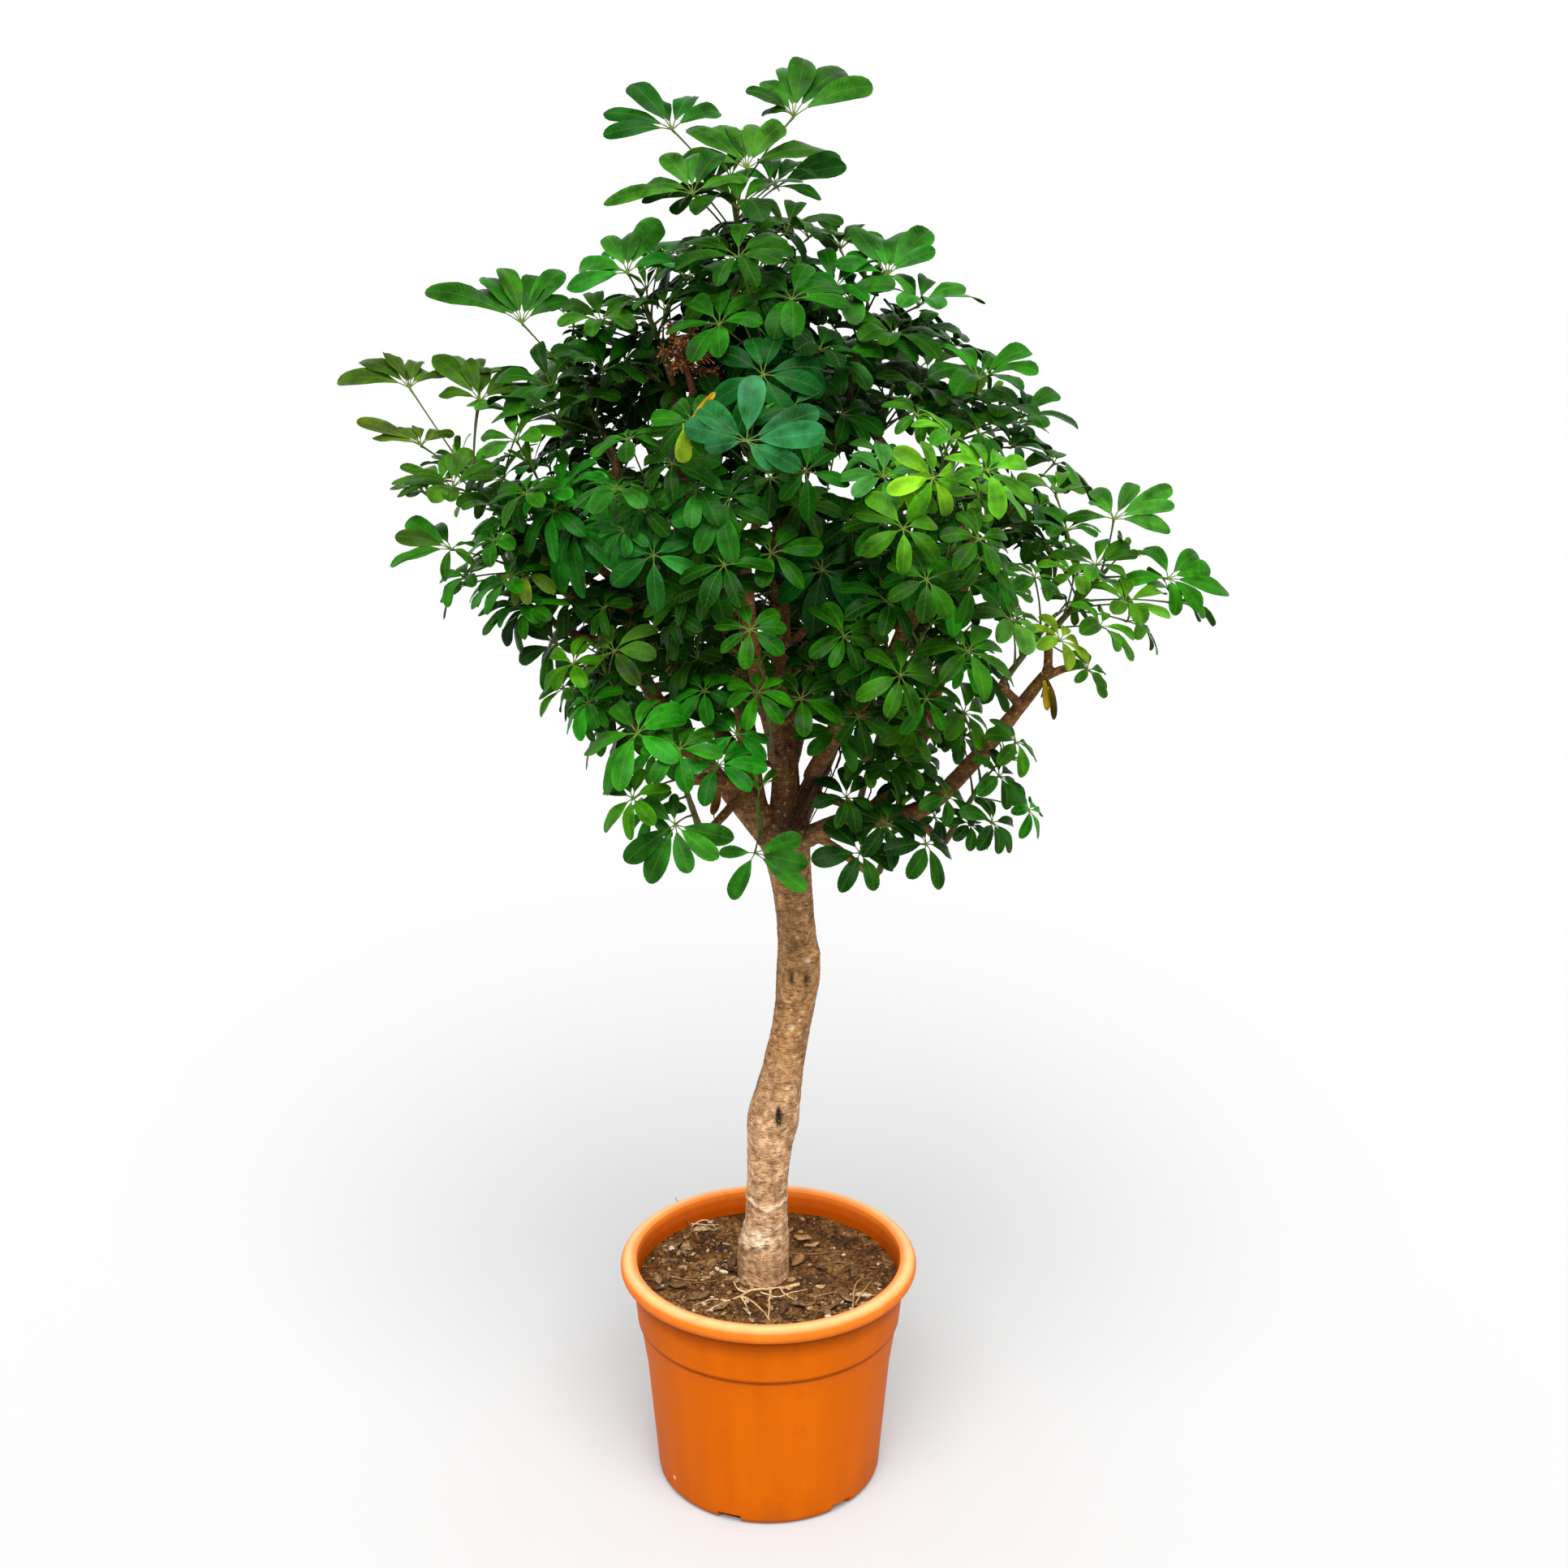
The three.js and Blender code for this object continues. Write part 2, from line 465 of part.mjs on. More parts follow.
// One leaf: leaflets cut to the hub in a thin arched blade, with its stalk run back to the root.
function leafSolid({ hub, root, normal, radius, leaflets, spin, rise, droop }) {
  const stalk = hub.clone().sub(root).normalize();
  const away = stalk.clone().addScaledVector(normal, -stalk.dot(normal));
  if (away.length() < 0.2) away.copy(UP).negate().addScaledVector(normal, UP.dot(normal));
  away.normalize();
  const across = normal.clone().cross(away);
  const top = [];
  const place = (angle, reach, side) => {
    const direction = away.clone().multiplyScalar(Math.cos(angle))
      .addScaledVector(across, Math.sin(angle));
    const sideways = normal.clone().cross(direction);
    const length = radius * (0.9 + 0.1 * Math.cos(angle));
    const height = radius * (rise * reach - droop * reach * reach);
    return hub.clone()
      .addScaledVector(direction, length * reach)
      .addScaledVector(sideways, side * radius)
      .addScaledVector(normal, height);
  };
  for (let i = 0; i < leaflets; i++) {
    const angle = spin + (2 * Math.PI * i) / leaflets;
    const notch = angle - Math.PI / leaflets;
    top.push(place(notch, NOTCH_REACH, 0));
    top.push(place(angle, WIDEST, -HALF_WIDTH[leaflets]));
    top.push(place(angle, WIDEST, HALF_WIDTH[leaflets]));
    top.push(place(angle, 1, 0));
  }
  const count = top.length;
  const under = top.map((p) => p.clone().addScaledVector(normal, -BLADE_THICKNESS));
  const hubUnder = hub.clone().addScaledVector(normal, -BLADE_THICKNESS);
  const ringTurns = [0, 1, 2].map((k) => spin + (2 * Math.PI * k) / 3);
  const foot = [];
  const collar = [];
  const sideA = away.clone().addScaledVector(stalk, -away.dot(stalk)).normalize();
  const sideB = stalk.clone().cross(sideA);
  for (const turn of ringTurns) {
    const offset = sideA.clone().multiplyScalar(STALK_RADIUS * Math.cos(turn))
      .addScaledVector(sideB, STALK_RADIUS * Math.sin(turn));
    const slide = -offset.dot(normal) / stalk.dot(normal);
    foot.push(root.clone().add(offset));
    collar.push(hubUnder.clone().add(offset).addScaledVector(stalk, slide));
  }
  const points = [hub, ...top, ...under, ...collar, ...foot];
  const topAt = (i) => 1 + (i % count);
  const underAt = (i) => 1 + count + (i % count);
  const collarAt = (k) => 1 + 2 * count + (k % 3);
  const footAt = (k) => 4 + 2 * count + (k % 3);
  const faces = [];
  // Order round each leaflet: notch, near side, tip, far side.
  const rim = [];
  const inner = [];
  for (let i = 0; i < leaflets; i++) {
    const [notch, near, far, tip] = [4 * i, 4 * i + 1, 4 * i + 2, 4 * i + 3];
    rim.push(notch, near, tip, far);
    inner.push(notch, near, far);
    faces.push([topAt(near), topAt(tip), topAt(far)]);
    faces.push([underAt(near), underAt(far), underAt(tip)]);
  }
  for (let i = 0; i < rim.length; i++) {
    const a = rim[i];
    const b = rim[(i + 1) % rim.length];
    faces.push([topAt(a), underAt(a), underAt(b)], [topAt(a), underAt(b), topAt(b)]);
  }
  // The underside runs from the rim in to the three corners of the stalk's collar.
  const angleOf = (p) => Math.atan2(p.clone().sub(hub).dot(across), p.clone().sub(hub).dot(away));
  const nearestCorner = (p) => {
    const likeness = collar.map((corner) => Math.cos(angleOf(p) - angleOf(corner)));
    return likeness.indexOf(Math.max(...likeness));
  };
  const corners = inner.map((i) => nearestCorner(under[i]));
  for (let i = 0; i < inner.length; i++) {
    const next = (i + 1) % inner.length;
    faces.push([0, topAt(inner[i]), topAt(inner[next])]);
    faces.push([underAt(inner[next]), underAt(inner[i]), collarAt(corners[i])]);
    if (corners[i] !== corners[next]) {
      faces.push([underAt(inner[next]), collarAt(corners[i]), collarAt(corners[next])]);
    }
  }
  for (let k = 0; k < 3; k++) {
    faces.push([collarAt(k), footAt(k), footAt(k + 1)], [collarAt(k), footAt(k + 1), collarAt(k + 1)]);
  }
  faces.push([footAt(0), footAt(2), footAt(1)]);
  return toSolid(surface(points, faces));
}

// The heads of a shoot. Those that are seen lie where they were read, with the depth that their
// stalk's length leaves; hidden ones wind round the stem.
function shootHeads(shoot, stem, random) {
  const heads = (shoot.heads ?? []).map(([x, z, radius, more]) => {
    const spread = seenAt(x, z, stem.tip.y).distanceTo(stem.tip);
    const forward = Math.sqrt(Math.max(0, STALK_LENGTH ** 2 - spread ** 2)) * 0.7;
    return { x, z, radius, depth: stem.tip.y - forward, ...more };
  });
  for (let i = 0; i < (shoot.spiral ?? 0); i++) {
    const turn = GOLDEN_TURN * i + 0.6 * random();
    const lean = 0.75 + 0.3 * random();
    const reach = STALK_LENGTH * (0.8 + 0.3 * random());
    const direction = vec(Math.cos(turn) * lean, Math.sin(turn) * lean, 0.75 - (0.4 * i) / shoot.spiral);
    const hub = stem.tip.clone()
      .addScaledVector(direction.normalize(), reach)
      .addScaledVector(stem.heading, -SPIRAL_DROP * i);
    const nearness = 1 + hub.y / -EYE.y;
    heads.push({
      x: EYE.x + (hub.x - EYE.x) / nearness,
      z: EYE.z + (hub.z - EYE.z) / nearness,
      radius: THREE.MathUtils.lerp(...HIDDEN_RADIUS, random()),
      depth: hub.y,
      leaflets: 4,
    });
  }
  return heads.map((head) => ({ ...head, spin: 0.8 * random() - 0.4, lift: 0.2 * random() - 0.1 }));
}

// Where the stalk leaves the stem: lower for a head that hangs lower.
function stalkRoot(stem, hub, length, shift) {
  const level = hub.clone().sub(stem.foot).dot(stem.heading);
  const along = (level - 0.55 * hub.distanceTo(stem.tip) + shift) / length;
  return stem.foot.clone().addScaledVector(stem.heading, length * THREE.MathUtils.clamp(along, ...ROOT_SPAN));
}

// The pose of a head on one try. Later tries slide it along the line of sight and step round the
// place where it was read, with its stalk moved along the stem and its leaflets turned. The blade
// never stands steeper than 60 degrees to its stalk.
function poseHead(head, shoot, stem, attempt) {
  const slide = Math.ceil(attempt / 2) * TRY_SLIDE * (attempt % 2 ? 1 : -1);
  const beside = TRY_STEP * attempt;
  const hub = seenAt(
    head.x + beside * Math.cos(GOLDEN_TURN * attempt),
    head.z + beside * Math.sin(GOLDEN_TURN * attempt),
    head.depth + slide,
  );
  const root = stalkRoot(stem, hub, shoot.length ?? SHOOT_LENGTH, ((attempt % 3) - 1) * 10);
  const stalk = hub.clone().sub(root).normalize();
  const facing = head.facing ?? shoot.facing;
  const upright = Math.min(facing, 1);
  const outward = vec(hub.x - EYE.x, hub.y - 60, 0).normalize();
  const normal = UP.clone().addScaledVector(outward, facing).addScaledVector(stalk, 0.1).normalize();
  while (normal.dot(stalk) < 0.5) normal.addScaledVector(stalk, 0.1).normalize();
  return {
    hub,
    root,
    normal,
    radius: head.radius * GROWTH * (1 + hub.y / -EYE.y) * (1 - 0.006 * attempt),
    leaflets: head.leaflets ?? (head.radius < SMALL_RADIUS ? 4 : 5),
    spin: head.spin + 0.35 * (attempt % 3),
    rise: (head.rise ?? THREE.MathUtils.lerp(...RISE, upright)) + head.lift,
    droop: THREE.MathUtils.lerp(...DROOP, upright),
  };
}

function boxOf(solid) {
  const { min, max } = solid.boundingBox();
  return new THREE.Box3(vec(...min), vec(...max)).expandByScalar(LEAF_GAP);
}

// Whether a leaf meets another leaf of its shoot nowhere but close to the root of its stalk.
function meetsOnlyAtRoot(leaf, root, other) {
  const shared = leaf.intersect(other);
  return shared.isEmpty() || boxOf(shared).getCenter(vec()).distanceTo(root) < ROOT_REACH;
}

// Grows all leaves. Each keeps its first try that is clear of every other piece, and a head with
// no clear try is left out.
function growLeaves(wood, stems, spentFlower) {
  const random = seeded(11);
  const heads = Object.entries(SHOOTS).flatMap(([name, shoot]) => (
    shootHeads(shoot, stems[name], random).map((head) => ({ ...head, name, shoot }))
  ));
  const pieces = [{ solid: spentFlower, box: boxOf(spentFlower) }];
  for (const [name, { solid }] of Object.entries(stems)) {
    pieces.push({ name, solid, box: boxOf(solid), stem: true });
  }
  const isClear = (leaf, box, root, name) => leaf.minGap(wood, LEAF_GAP) >= LEAF_GAP
    && pieces.every((piece) => {
      if (!box.intersectsBox(piece.box)) return true;
      if (piece.name === name) return piece.stem || meetsOnlyAtRoot(leaf, root, piece.solid);
      return leaf.minGap(piece.solid, LEAF_GAP) >= LEAF_GAP;
    });
  const leaves = Object.fromEntries(Object.keys(SHOOTS).map((name) => [name, []]));
  for (const head of heads) {
    for (let attempt = 0; attempt < TRIES; attempt++) {
      const pose = poseHead(head, head.shoot, stems[head.name], attempt);
      const leaf = leafSolid(pose);
      const box = boxOf(leaf);
      if (isClear(leaf, box, pose.root, head.name)) {
        pieces.push({ name: head.name, solid: leaf, box });
        leaves[head.name].push(leaf);
        break;
      }
    }
  }
  return leaves;
}

// ---- Assembly ----------------------------------------------------------------------------

const plastic = new THREE.MeshStandardMaterial({ color: 0xe06a12, roughness: 0.5, metalness: 0 });
const earth = new THREE.MeshStandardMaterial({ color: 0x5c4123, roughness: 1, metalness: 0 });
const bark = new THREE.MeshStandardMaterial({ color: 0xa5835a, roughness: 0.9, metalness: 0 });
const dry = new THREE.MeshStandardMaterial({ color: 0x5a2a12, roughness: 0.9, metalness: 0 });
const foliage = new THREE.MeshStandardMaterial({ color: 0x1f6b12, roughness: 0.35, metalness: 0 });

const stems = {};
for (const [name, shoot] of Object.entries(SHOOTS)) {
  const stem = shootStem(shoot);
  stem.solid = limbSolid([
    [...stem.foot.toArray(), TWIG_END_RADIUS],
    [...stem.tip.toArray(), SHOOT_TIP_RADIUS],
  ], TWIG_SIDES, 1);
  stems[name] = stem;
}

const wood = trunkSolid(stems);
const spentFlower = spentFlowerSolid();
const leaves = growLeaves(wood, stems, spentFlower);

const group = new THREE.Group();
group.add(toMesh(potSolid(), 'pot', plastic));
group.add(toMesh(soilSolid(), 'soil', earth));
group.add(toMesh(wood, 'trunk_and_limbs', bark));
group.add(toMesh(spentFlower, 'spent_flower', dry));
for (const name of Object.keys(SHOOTS)) {
  group.add(toMesh(join([stems[name].solid, ...leaves[name]]), `shoot_${name}`, foliage));
}

export default group;
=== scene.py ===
"""A tall umbrella plant in a round plastic pot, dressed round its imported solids.

Sizes are written in millimetres and turned to metres where a mesh is made. The distances inside
a shader are in metres.
"""
import math
import random

import bpy
import numpy as np
from mathutils import Matrix, Vector, noise


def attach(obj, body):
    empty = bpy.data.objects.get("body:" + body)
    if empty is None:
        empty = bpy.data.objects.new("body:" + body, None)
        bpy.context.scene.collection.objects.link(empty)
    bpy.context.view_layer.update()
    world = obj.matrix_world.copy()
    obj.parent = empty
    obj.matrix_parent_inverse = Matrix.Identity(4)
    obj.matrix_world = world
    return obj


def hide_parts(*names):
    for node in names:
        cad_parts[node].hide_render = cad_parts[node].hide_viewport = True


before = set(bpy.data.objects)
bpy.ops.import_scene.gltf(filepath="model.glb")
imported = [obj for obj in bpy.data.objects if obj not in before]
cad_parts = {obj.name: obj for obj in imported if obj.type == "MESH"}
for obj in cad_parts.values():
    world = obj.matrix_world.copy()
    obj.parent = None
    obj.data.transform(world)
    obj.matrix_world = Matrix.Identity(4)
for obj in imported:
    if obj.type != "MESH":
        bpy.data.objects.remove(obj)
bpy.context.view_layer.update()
scene = bpy.context.scene

# ---- Viewpoint ---------------------------------------------------------------------------
# The plant is seen from eye height, 2.4 m in front of the trunk and a little to its right.
# The camera looks down by 16 degrees, with a standard lens on a full frame sensor.
EYE = Vector((21, -2400, 1672))
TILT = 16.09
SENSOR, LENS = 36, 45.41

camera = bpy.data.objects.new("camera", bpy.data.cameras.new("camera"))
camera.data.sensor_width = SENSOR
camera.data.lens = LENS
camera.location = EYE / 1000
camera.rotation_euler = (math.radians(90 - TILT), 0, 0)
scene.collection.objects.link(camera)
scene.camera = camera
scene.view_settings.view_transform = "Standard"


def seen_at(x, z, depth):
    """A point seen against the upright plane through the trunk, moved to its true depth."""
    nearness = 1 + depth / -EYE.y
    return Vector((EYE.x + (x - EYE.x) * nearness, depth, EYE.z + (z - EYE.z) * nearness))


def seen_place(point):
    """Where a point is seen against the upright plane through the trunk: x and height."""
    nearness = 1 + point.y / -EYE.y
    return EYE.x + (point.x - EYE.x) / nearness, EYE.z + (point.z - EYE.z) / nearness


# ---- Pot ---------------------------------------------------------------------------------
# A 40 cm nursery pot, injection moulded in orange polypropylene in one shot. A rolled lip
# stiffens the mouth, a shallow step runs round it under the lip, and six notches let water
# out at the foot.
POT_SIDES = 288
POT_TOP = 320
# The wall as radius and height: outside from the foot up, the rolled lip, inside down to the floor.
POT_OUTSIDE = [
    (142, 0), (146.5, 0.5), (149.3, 2.2), (151.2, 4.6), (152.2, 6.1), (153, 9), (153.2, 12),
    (153.3, 12.1), (155, 34), (159.2, 85), (166, 167), (171, 200), (174.6, 227.6), (175.2, 229.2),
    (177, 229.9), (178, 231.4), (178.3, 234), (181.2, 265), (184, 297),
]
POT_ROLL = {"radius": 188.5, "height": 308.5, "roll": 11.5, "from": -80, "to": 96, "steps": 22}
POT_INSIDE = [
    (181.5, 319.4), (178.6, 317.6), (177.2, 314), (176.6, 308), (176, 300), (172, 232),
    (163, 167), (151, 32), (138.5, 14), (136, 3),
]
# The recess of a notch, and how far round from the front the first one lies, in degrees.
NOTCHES = {"count": 6, "half_width": 14, "height": 12.05, "inner": 141, "turn": -20}
# Colours by share of the height: foot, wall, the painted shade of the step's crease, band and lip.
# The lip's paler orange is painted light.
POT_COLOURS = [
    (0, "#ae5000"), (0.16, "#b65500"), (0.703, "#bc5800"), (0.714, "#8a3a02"),
    (0.725, "#8a3a02"), (0.737, "#b85600"), (0.92, "#b85600"), (0.945, "#cc681c"),
]
# Colours of the painted highlight on the lip, of dirt, and of a rubbed spot.
PAINTED_LIP_HIGHLIGHT, GRIME, RUBBED_PALE = "#eebe86", "#94450c", "#f9c58c"
# Sizes of the flow marks, grime patches, skin grain and dents, and where the wall is scuffed.
FLOW_MARK, GRIME_PATCH, SKIN_GRAIN, DENT = 30, 45, 2.5, 60
SCUFF = Vector((-126.5, -87.5, 28.5))
# Tints of the parts that light hardly reaches: the inside, from the fourth point of its outline
# down, the line under the lip, and the notches.
INSIDE_SHADE, UNDER_LIP_SHADE = (0.78, 0.62, 0.5, 1), (0.5, 0.42, 0.36, 1)
NOTCH_SHADE = (0.3, 0.2, 0.14, 1)
SHADED_FROM = 3
# Settings of the two colour mixes: one colour over another, and one that tints another.
OVER = {"data_type": "RGBA"}
TINT = {"data_type": "RGBA", "blend_type": "MULTIPLY"}


def linear(colour):
    """An sRGB hex colour as a linear one."""
    parts = [int(colour[i:i + 2], 16) / 255 for i in (1, 3, 5)]
    return [p / 12.92 if p <= 0.04045 else ((p + 0.055) / 1.055) ** 2.4 for p in parts] + [1]


def add_node(tree, kind, settings=(), inputs=(), stops=()):
    """Adds a shader node with its settings, its values or links, and any colour stops. Inputs
    go by name or number: in a map range 1 to 2 is mapped to 3 to 4, in a mix 0 is the share of 7
    over 6, and a mapping's 3 is its scale."""
    made = tree.nodes.new("ShaderNode" + kind)
    for name, value in dict(settings).items():
        setattr(made, name, value)
    for socket, value in dict(inputs).items():
        if isinstance(value, bpy.types.NodeSocket):
            tree.links.new(value, made.inputs[socket])
        else:
            made.inputs[socket].default_value = value
    for i, (place, colour) in enumerate(stops):
        points = made.color_ramp.elements
        point = points[i] if i < 2 else points.new(place)
        point.position = place
        point.color = linear(colour)
    return made


def new_surface(name, **sockets):
    """A material with its node tree and its Principled shader, which takes the given values."""
    material = bpy.data.materials.new(name)
    material.use_nodes = True
    shader = material.node_tree.nodes["Principled BSDF"]
    for socket, value in sockets.items():
        shader.inputs[socket.replace("_", " ")].default_value = value
    return material, material.node_tree, shader


class Shape:
    """The points, faces and colours gathered for one piece, in millimetres."""

    def __init__(self):
        self.points, self.faces, self.skins, self.tones, self.maps = [], [], [], [], []

    def add(self, points, faces, tone=(1, 1, 1, 1), skin=0, places=None):
        """Adds a closed form. Tone is one colour or one for each point, skin the material's
        number or one for each face, and places are the points' distances across and along."""
        first = len(self.points)
        self.points.extend(points)
        self.faces.extend([first + i for i in face] for face in faces)
        self.skins.extend([skin] * len(faces) if isinstance(skin, int) else skin)
        single = not hasattr(tone[0], "__len__")
        self.tones.extend([tone] * len(points) if single else tone)
        self.maps.extend(places if places is not None else [(0, 0)] * len(points))

    def finish(self, name, materials, replaced=(), sharp=60):
        """Makes the piece, in metres, and ties it to the frame."""
        mesh = bpy.data.meshes.new(name)
        mesh.from_pydata([Vector(p) / 1000 for p in self.points], [], self.faces)
        for material in materials:
            mesh.materials.append(material)
        mesh.polygons.foreach_set("material_index", self.skins)
        tones = mesh.color_attributes.new("tone", "FLOAT_COLOR", "POINT")
        tones.data.foreach_set("color", np.array(self.tones, np.float32).ravel())
        corners = np.zeros(len(mesh.loops), np.int32)
        mesh.loops.foreach_get("vertex_index", corners)
        spots = mesh.uv_layers.new(name="millimetres")
        spots.uv.foreach_set("vector", np.array(self.maps, np.float32)[corners].ravel())
        mesh.shade_smooth()
        mesh.set_sharp_from_angle(angle=math.radians(sharp))
        place_piece(name, mesh, replaced)


def place_piece(name, mesh, replaced):
    """Puts a mesh in the scene as a piece that rides on the plant's one body."""
    piece = bpy.data.objects.new(name, mesh)
    scene.collection.objects.link(piece)
    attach(piece, "root")
    if replaced:
        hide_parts(*replaced)


def turned(profile, sides):
    """Points and faces of a solid of revolution; the profile starts and ends on the axis."""
    rings = profile[1:-1]
    points = [(0, 0, profile[0][1])]
    for radius, height in rings:
        for s in range(sides):
            turn = 2 * math.pi * s / sides
            points.append((radius * math.cos(turn), radius * math.sin(turn), height))
    points.append((0, 0, profile[-1][1]))
    faces = [(0, 1 + (s + 1) % sides, 1 + s) for s in range(sides)]
    for ring in range(len(rings) - 1):
        low = 1 + ring * sides
        for s in range(sides):
            after = (s + 1) % sides
            faces.append((low + s, low + after, low + sides + after, low + sides + s))
    last = 1 + (len(rings) - 1) * sides
    faces += [(last + s, last + (s + 1) % sides, len(points) - 1) for s in range(sides)]
    return points, faces


def pot_profile():
    """Radius and height round the whole wall, from the middle of the underside to the floor's."""
    roll = []
    for i in range(POT_ROLL["steps"] + 1):
        share = i / POT_ROLL["steps"]
        turn = math.radians(POT_ROLL["from"] + share * (POT_ROLL["to"] - POT_ROLL["from"]))
        roll.append((
            POT_ROLL["radius"] + POT_ROLL["roll"] * math.cos(turn),
            POT_ROLL["height"] + POT_ROLL["roll"] * math.sin(turn),
        ))
    return [(0, 0), *POT_OUTSIDE, *roll, *POT_INSIDE, (0, POT_INSIDE[-1][1])]


def cut_notches(points, tones):
    """Draws the foot in at each notch, as the mould does, and shades the recess."""
    step = 360 / NOTCHES["count"]
    cut = []
    for i, (x, y, z) in enumerate(points):
        radius = math.hypot(x, y)
        off = (math.degrees(math.atan2(y, x)) + 90 - NOTCHES["turn"] + step / 2) % step - step / 2
        if radius > NOTCHES["inner"] and z < NOTCHES["height"]:
            if abs(math.radians(off)) * radius < NOTCHES["half_width"]:
                x, y = x * NOTCHES["inner"] / radius, y * NOTCHES["inner"] / radius
                tones[i] = NOTCH_SHADE
        cut.append((x, y, z))
    return cut


# Moulded polypropylene: an even satin skin with a painted highlight on its upward faces, most on
# the outside of the lip, with faint flow marks up the wall and a few rubbed spots near the foot.
polypropylene, tree, shader = new_surface(
    "moulded_polypropylene", IOR=1.49, Specular_IOR_Level=0.04)
coords = add_node(tree, "TexCoord").outputs["Object"]
height = add_node(tree, "SeparateXYZ", inputs={0: coords}).outputs["Z"]
zones = add_node(tree, "MapRange", inputs={0: height, 1: 0.0, 2: POT_TOP / 1000}).outputs[0]
body = add_node(tree, "ValToRGB", inputs={0: zones}, stops=POT_COLOURS).outputs[0]
# Painted highlight: faces that look upward are painted paler, most of all on the outside of the
# lip.
outward = add_node(tree, "NewGeometry").outputs["Normal"]
facing_up = add_node(tree, "SeparateXYZ", inputs={0: outward}).outputs["Z"]
lit_share = add_node(tree, "MapRange", inputs={0: facing_up, 1: 0.45, 2: 1.0, 4: 0.68}).outputs[0]
flat_place = add_node(tree, "Mapping", inputs={0: coords, 3: (1, 1, 0)}).outputs[0]
reach = add_node(tree, "VectorMath", {"operation": "LENGTH"}, {0: flat_place}).outputs["Value"]
outer_share = add_node(tree, "MapRange", inputs={0: reach, 1: 0.181, 2: 0.189, 3: 0.25}).outputs[0]
highlight_share = add_node(tree, "Math", {"operation": "MULTIPLY"}, {0: lit_share, 1: outer_share})
body = add_node(tree, "Mix", OVER, {
    0: highlight_share.outputs[0], 6: body, 7: linear(PAINTED_LIP_HIGHLIGHT)}).outputs[2]
wall = add_node(tree, "Attribute", {"attribute_name": "tone"}).outputs["Color"]
body = add_node(tree, "Mix", TINT, {0: 1.0, 6: body, 7: wall}).outputs[2]
streaks = add_node(tree, "Mapping", inputs={0: coords, 3: (1, 1, 0.12)}).outputs[0]
flow = add_node(tree, "TexNoise", inputs={
    "Vector": streaks, "Scale": 1000 / FLOW_MARK, "Detail": 4})
flow_tone = add_node(tree, "ValToRGB", inputs={0: flow.outputs[0]}, stops=[
    (0.3, "#f3efec"), (0.7, "#ffffff")]).outputs[0]
clean = add_node(tree, "Mix", TINT, {0: 1.0, 6: body, 7: flow_tone}).outputs[2]
grime = add_node(tree, "TexNoise", inputs={
    "Vector": coords, "Scale": 1000 / GRIME_PATCH, "Detail": 8, "Roughness": 0.7}).outputs[0]
low_down = add_node(tree, "MapRange", inputs={0: height, 1: 0.11, 2: 0.0, 4: 0.14}).outputs[0]
grime_edge = add_node(tree, "Math", {"operation": "ADD"}, {0: grime, 1: low_down}).outputs[0]
grime_share = add_node(tree, "MapRange", inputs={
    0: grime_edge, 1: 0.6, 2: 0.78, 4: 0.45}).outputs[0]
soiled = add_node(tree, "Mix", OVER, {0: grime_share, 6: clean, 7: linear(GRIME)}).outputs[2]
scuff_distance = add_node(tree, "VectorMath", {"operation": "DISTANCE"}, {
    0: coords, 1: SCUFF / 1000}).outputs["Value"]
scuff_share = add_node(tree, "MapRange", inputs={
    0: scuff_distance, 1: 0.004, 2: 0.0015, 4: 0.8}).outputs[0]
scuffed = add_node(tree, "Mix", OVER, {
    0: scuff_share, 6: soiled, 7: linear(RUBBED_PALE)}).outputs[2]
tree.links.new(scuffed, shader.inputs["Base Color"])
skin = add_node(tree, "TexNoise", inputs={
    "Vector": coords, "Scale": 1000 / SKIN_GRAIN, "Detail": 2})
dents = add_node(tree, "TexNoise", inputs={"Vector": coords, "Scale": 1000 / DENT, "Detail": 2})
fine = add_node(tree, "Bump", inputs={"Strength": 0.08, "Distance": 0.0004,
                                      "Height": skin.outputs[0]}).outputs[0]
uneven = add_node(tree, "Bump", inputs={"Strength": 0.25, "Distance": 0.003,
                                        "Height": dents.outputs[0], "Normal": fine}).outputs[0]
tree.links.new(uneven, shader.inputs["Normal"])
rubbed = add_node(tree, "MapRange", inputs={0: flow.outputs[0], 3: 0.4, 4: 0.55}).outputs[0]
tree.links.new(rubbed, shader.inputs["Roughness"])

pot = Shape()
pot_points, pot_faces = turned(pot_profile(), POT_SIDES)
under_lip = 1 + POT_SIDES * (len(POT_OUTSIDE) - 1)
inner_wall = 1 + POT_SIDES * (len(POT_OUTSIDE) + POT_ROLL["steps"] + 1 + SHADED_FROM)
pot_tones = [(1, 1, 1, 1)] * inner_wall + [INSIDE_SHADE] * (len(pot_points) - inner_wall)
pot_tones[under_lip:under_lip + POT_SIDES] = [UNDER_LIP_SHADE] * POT_SIDES
pot.add(cut_notches(pot_points, pot_tones), pot_faces, pot_tones)
pot.finish("pot_shell", [polypropylene], ["pot"], sharp=35)

# ---- Soil --------------------------------------------------------------------------------
# Potting mix of peat, composted bark and old leaf crumbs, watered and dried many times. It is
# crumbly round the trunk and at the front, and has settled to a smooth crust at the back right.
SOIL_LEVEL = 286
SOIL_RINGS = 120
SOIL_SIDES = 320
SOIL_EDGE = 174.6
SOIL_WALL = [(162.5, 167), (150.5, 32), (138, 14), (135.5, 3.4)]
# Height and width of the swells, lumps, crumbs and grains in the surface.
SWELL, LUMP, CRUMB, GRAIN = (2.6, 60), (3.0, 17), (1.9, 6), (1.1, 2.6)
# The crust: which way it lies, where it sets in and over how far, and how flat it is.
CRUST_RIGHT, CRUST_BACK, CRUST_FROM, CRUST_OVER, CRUST_FLAT = 0.7, 0.9, 15, 70, 0.75
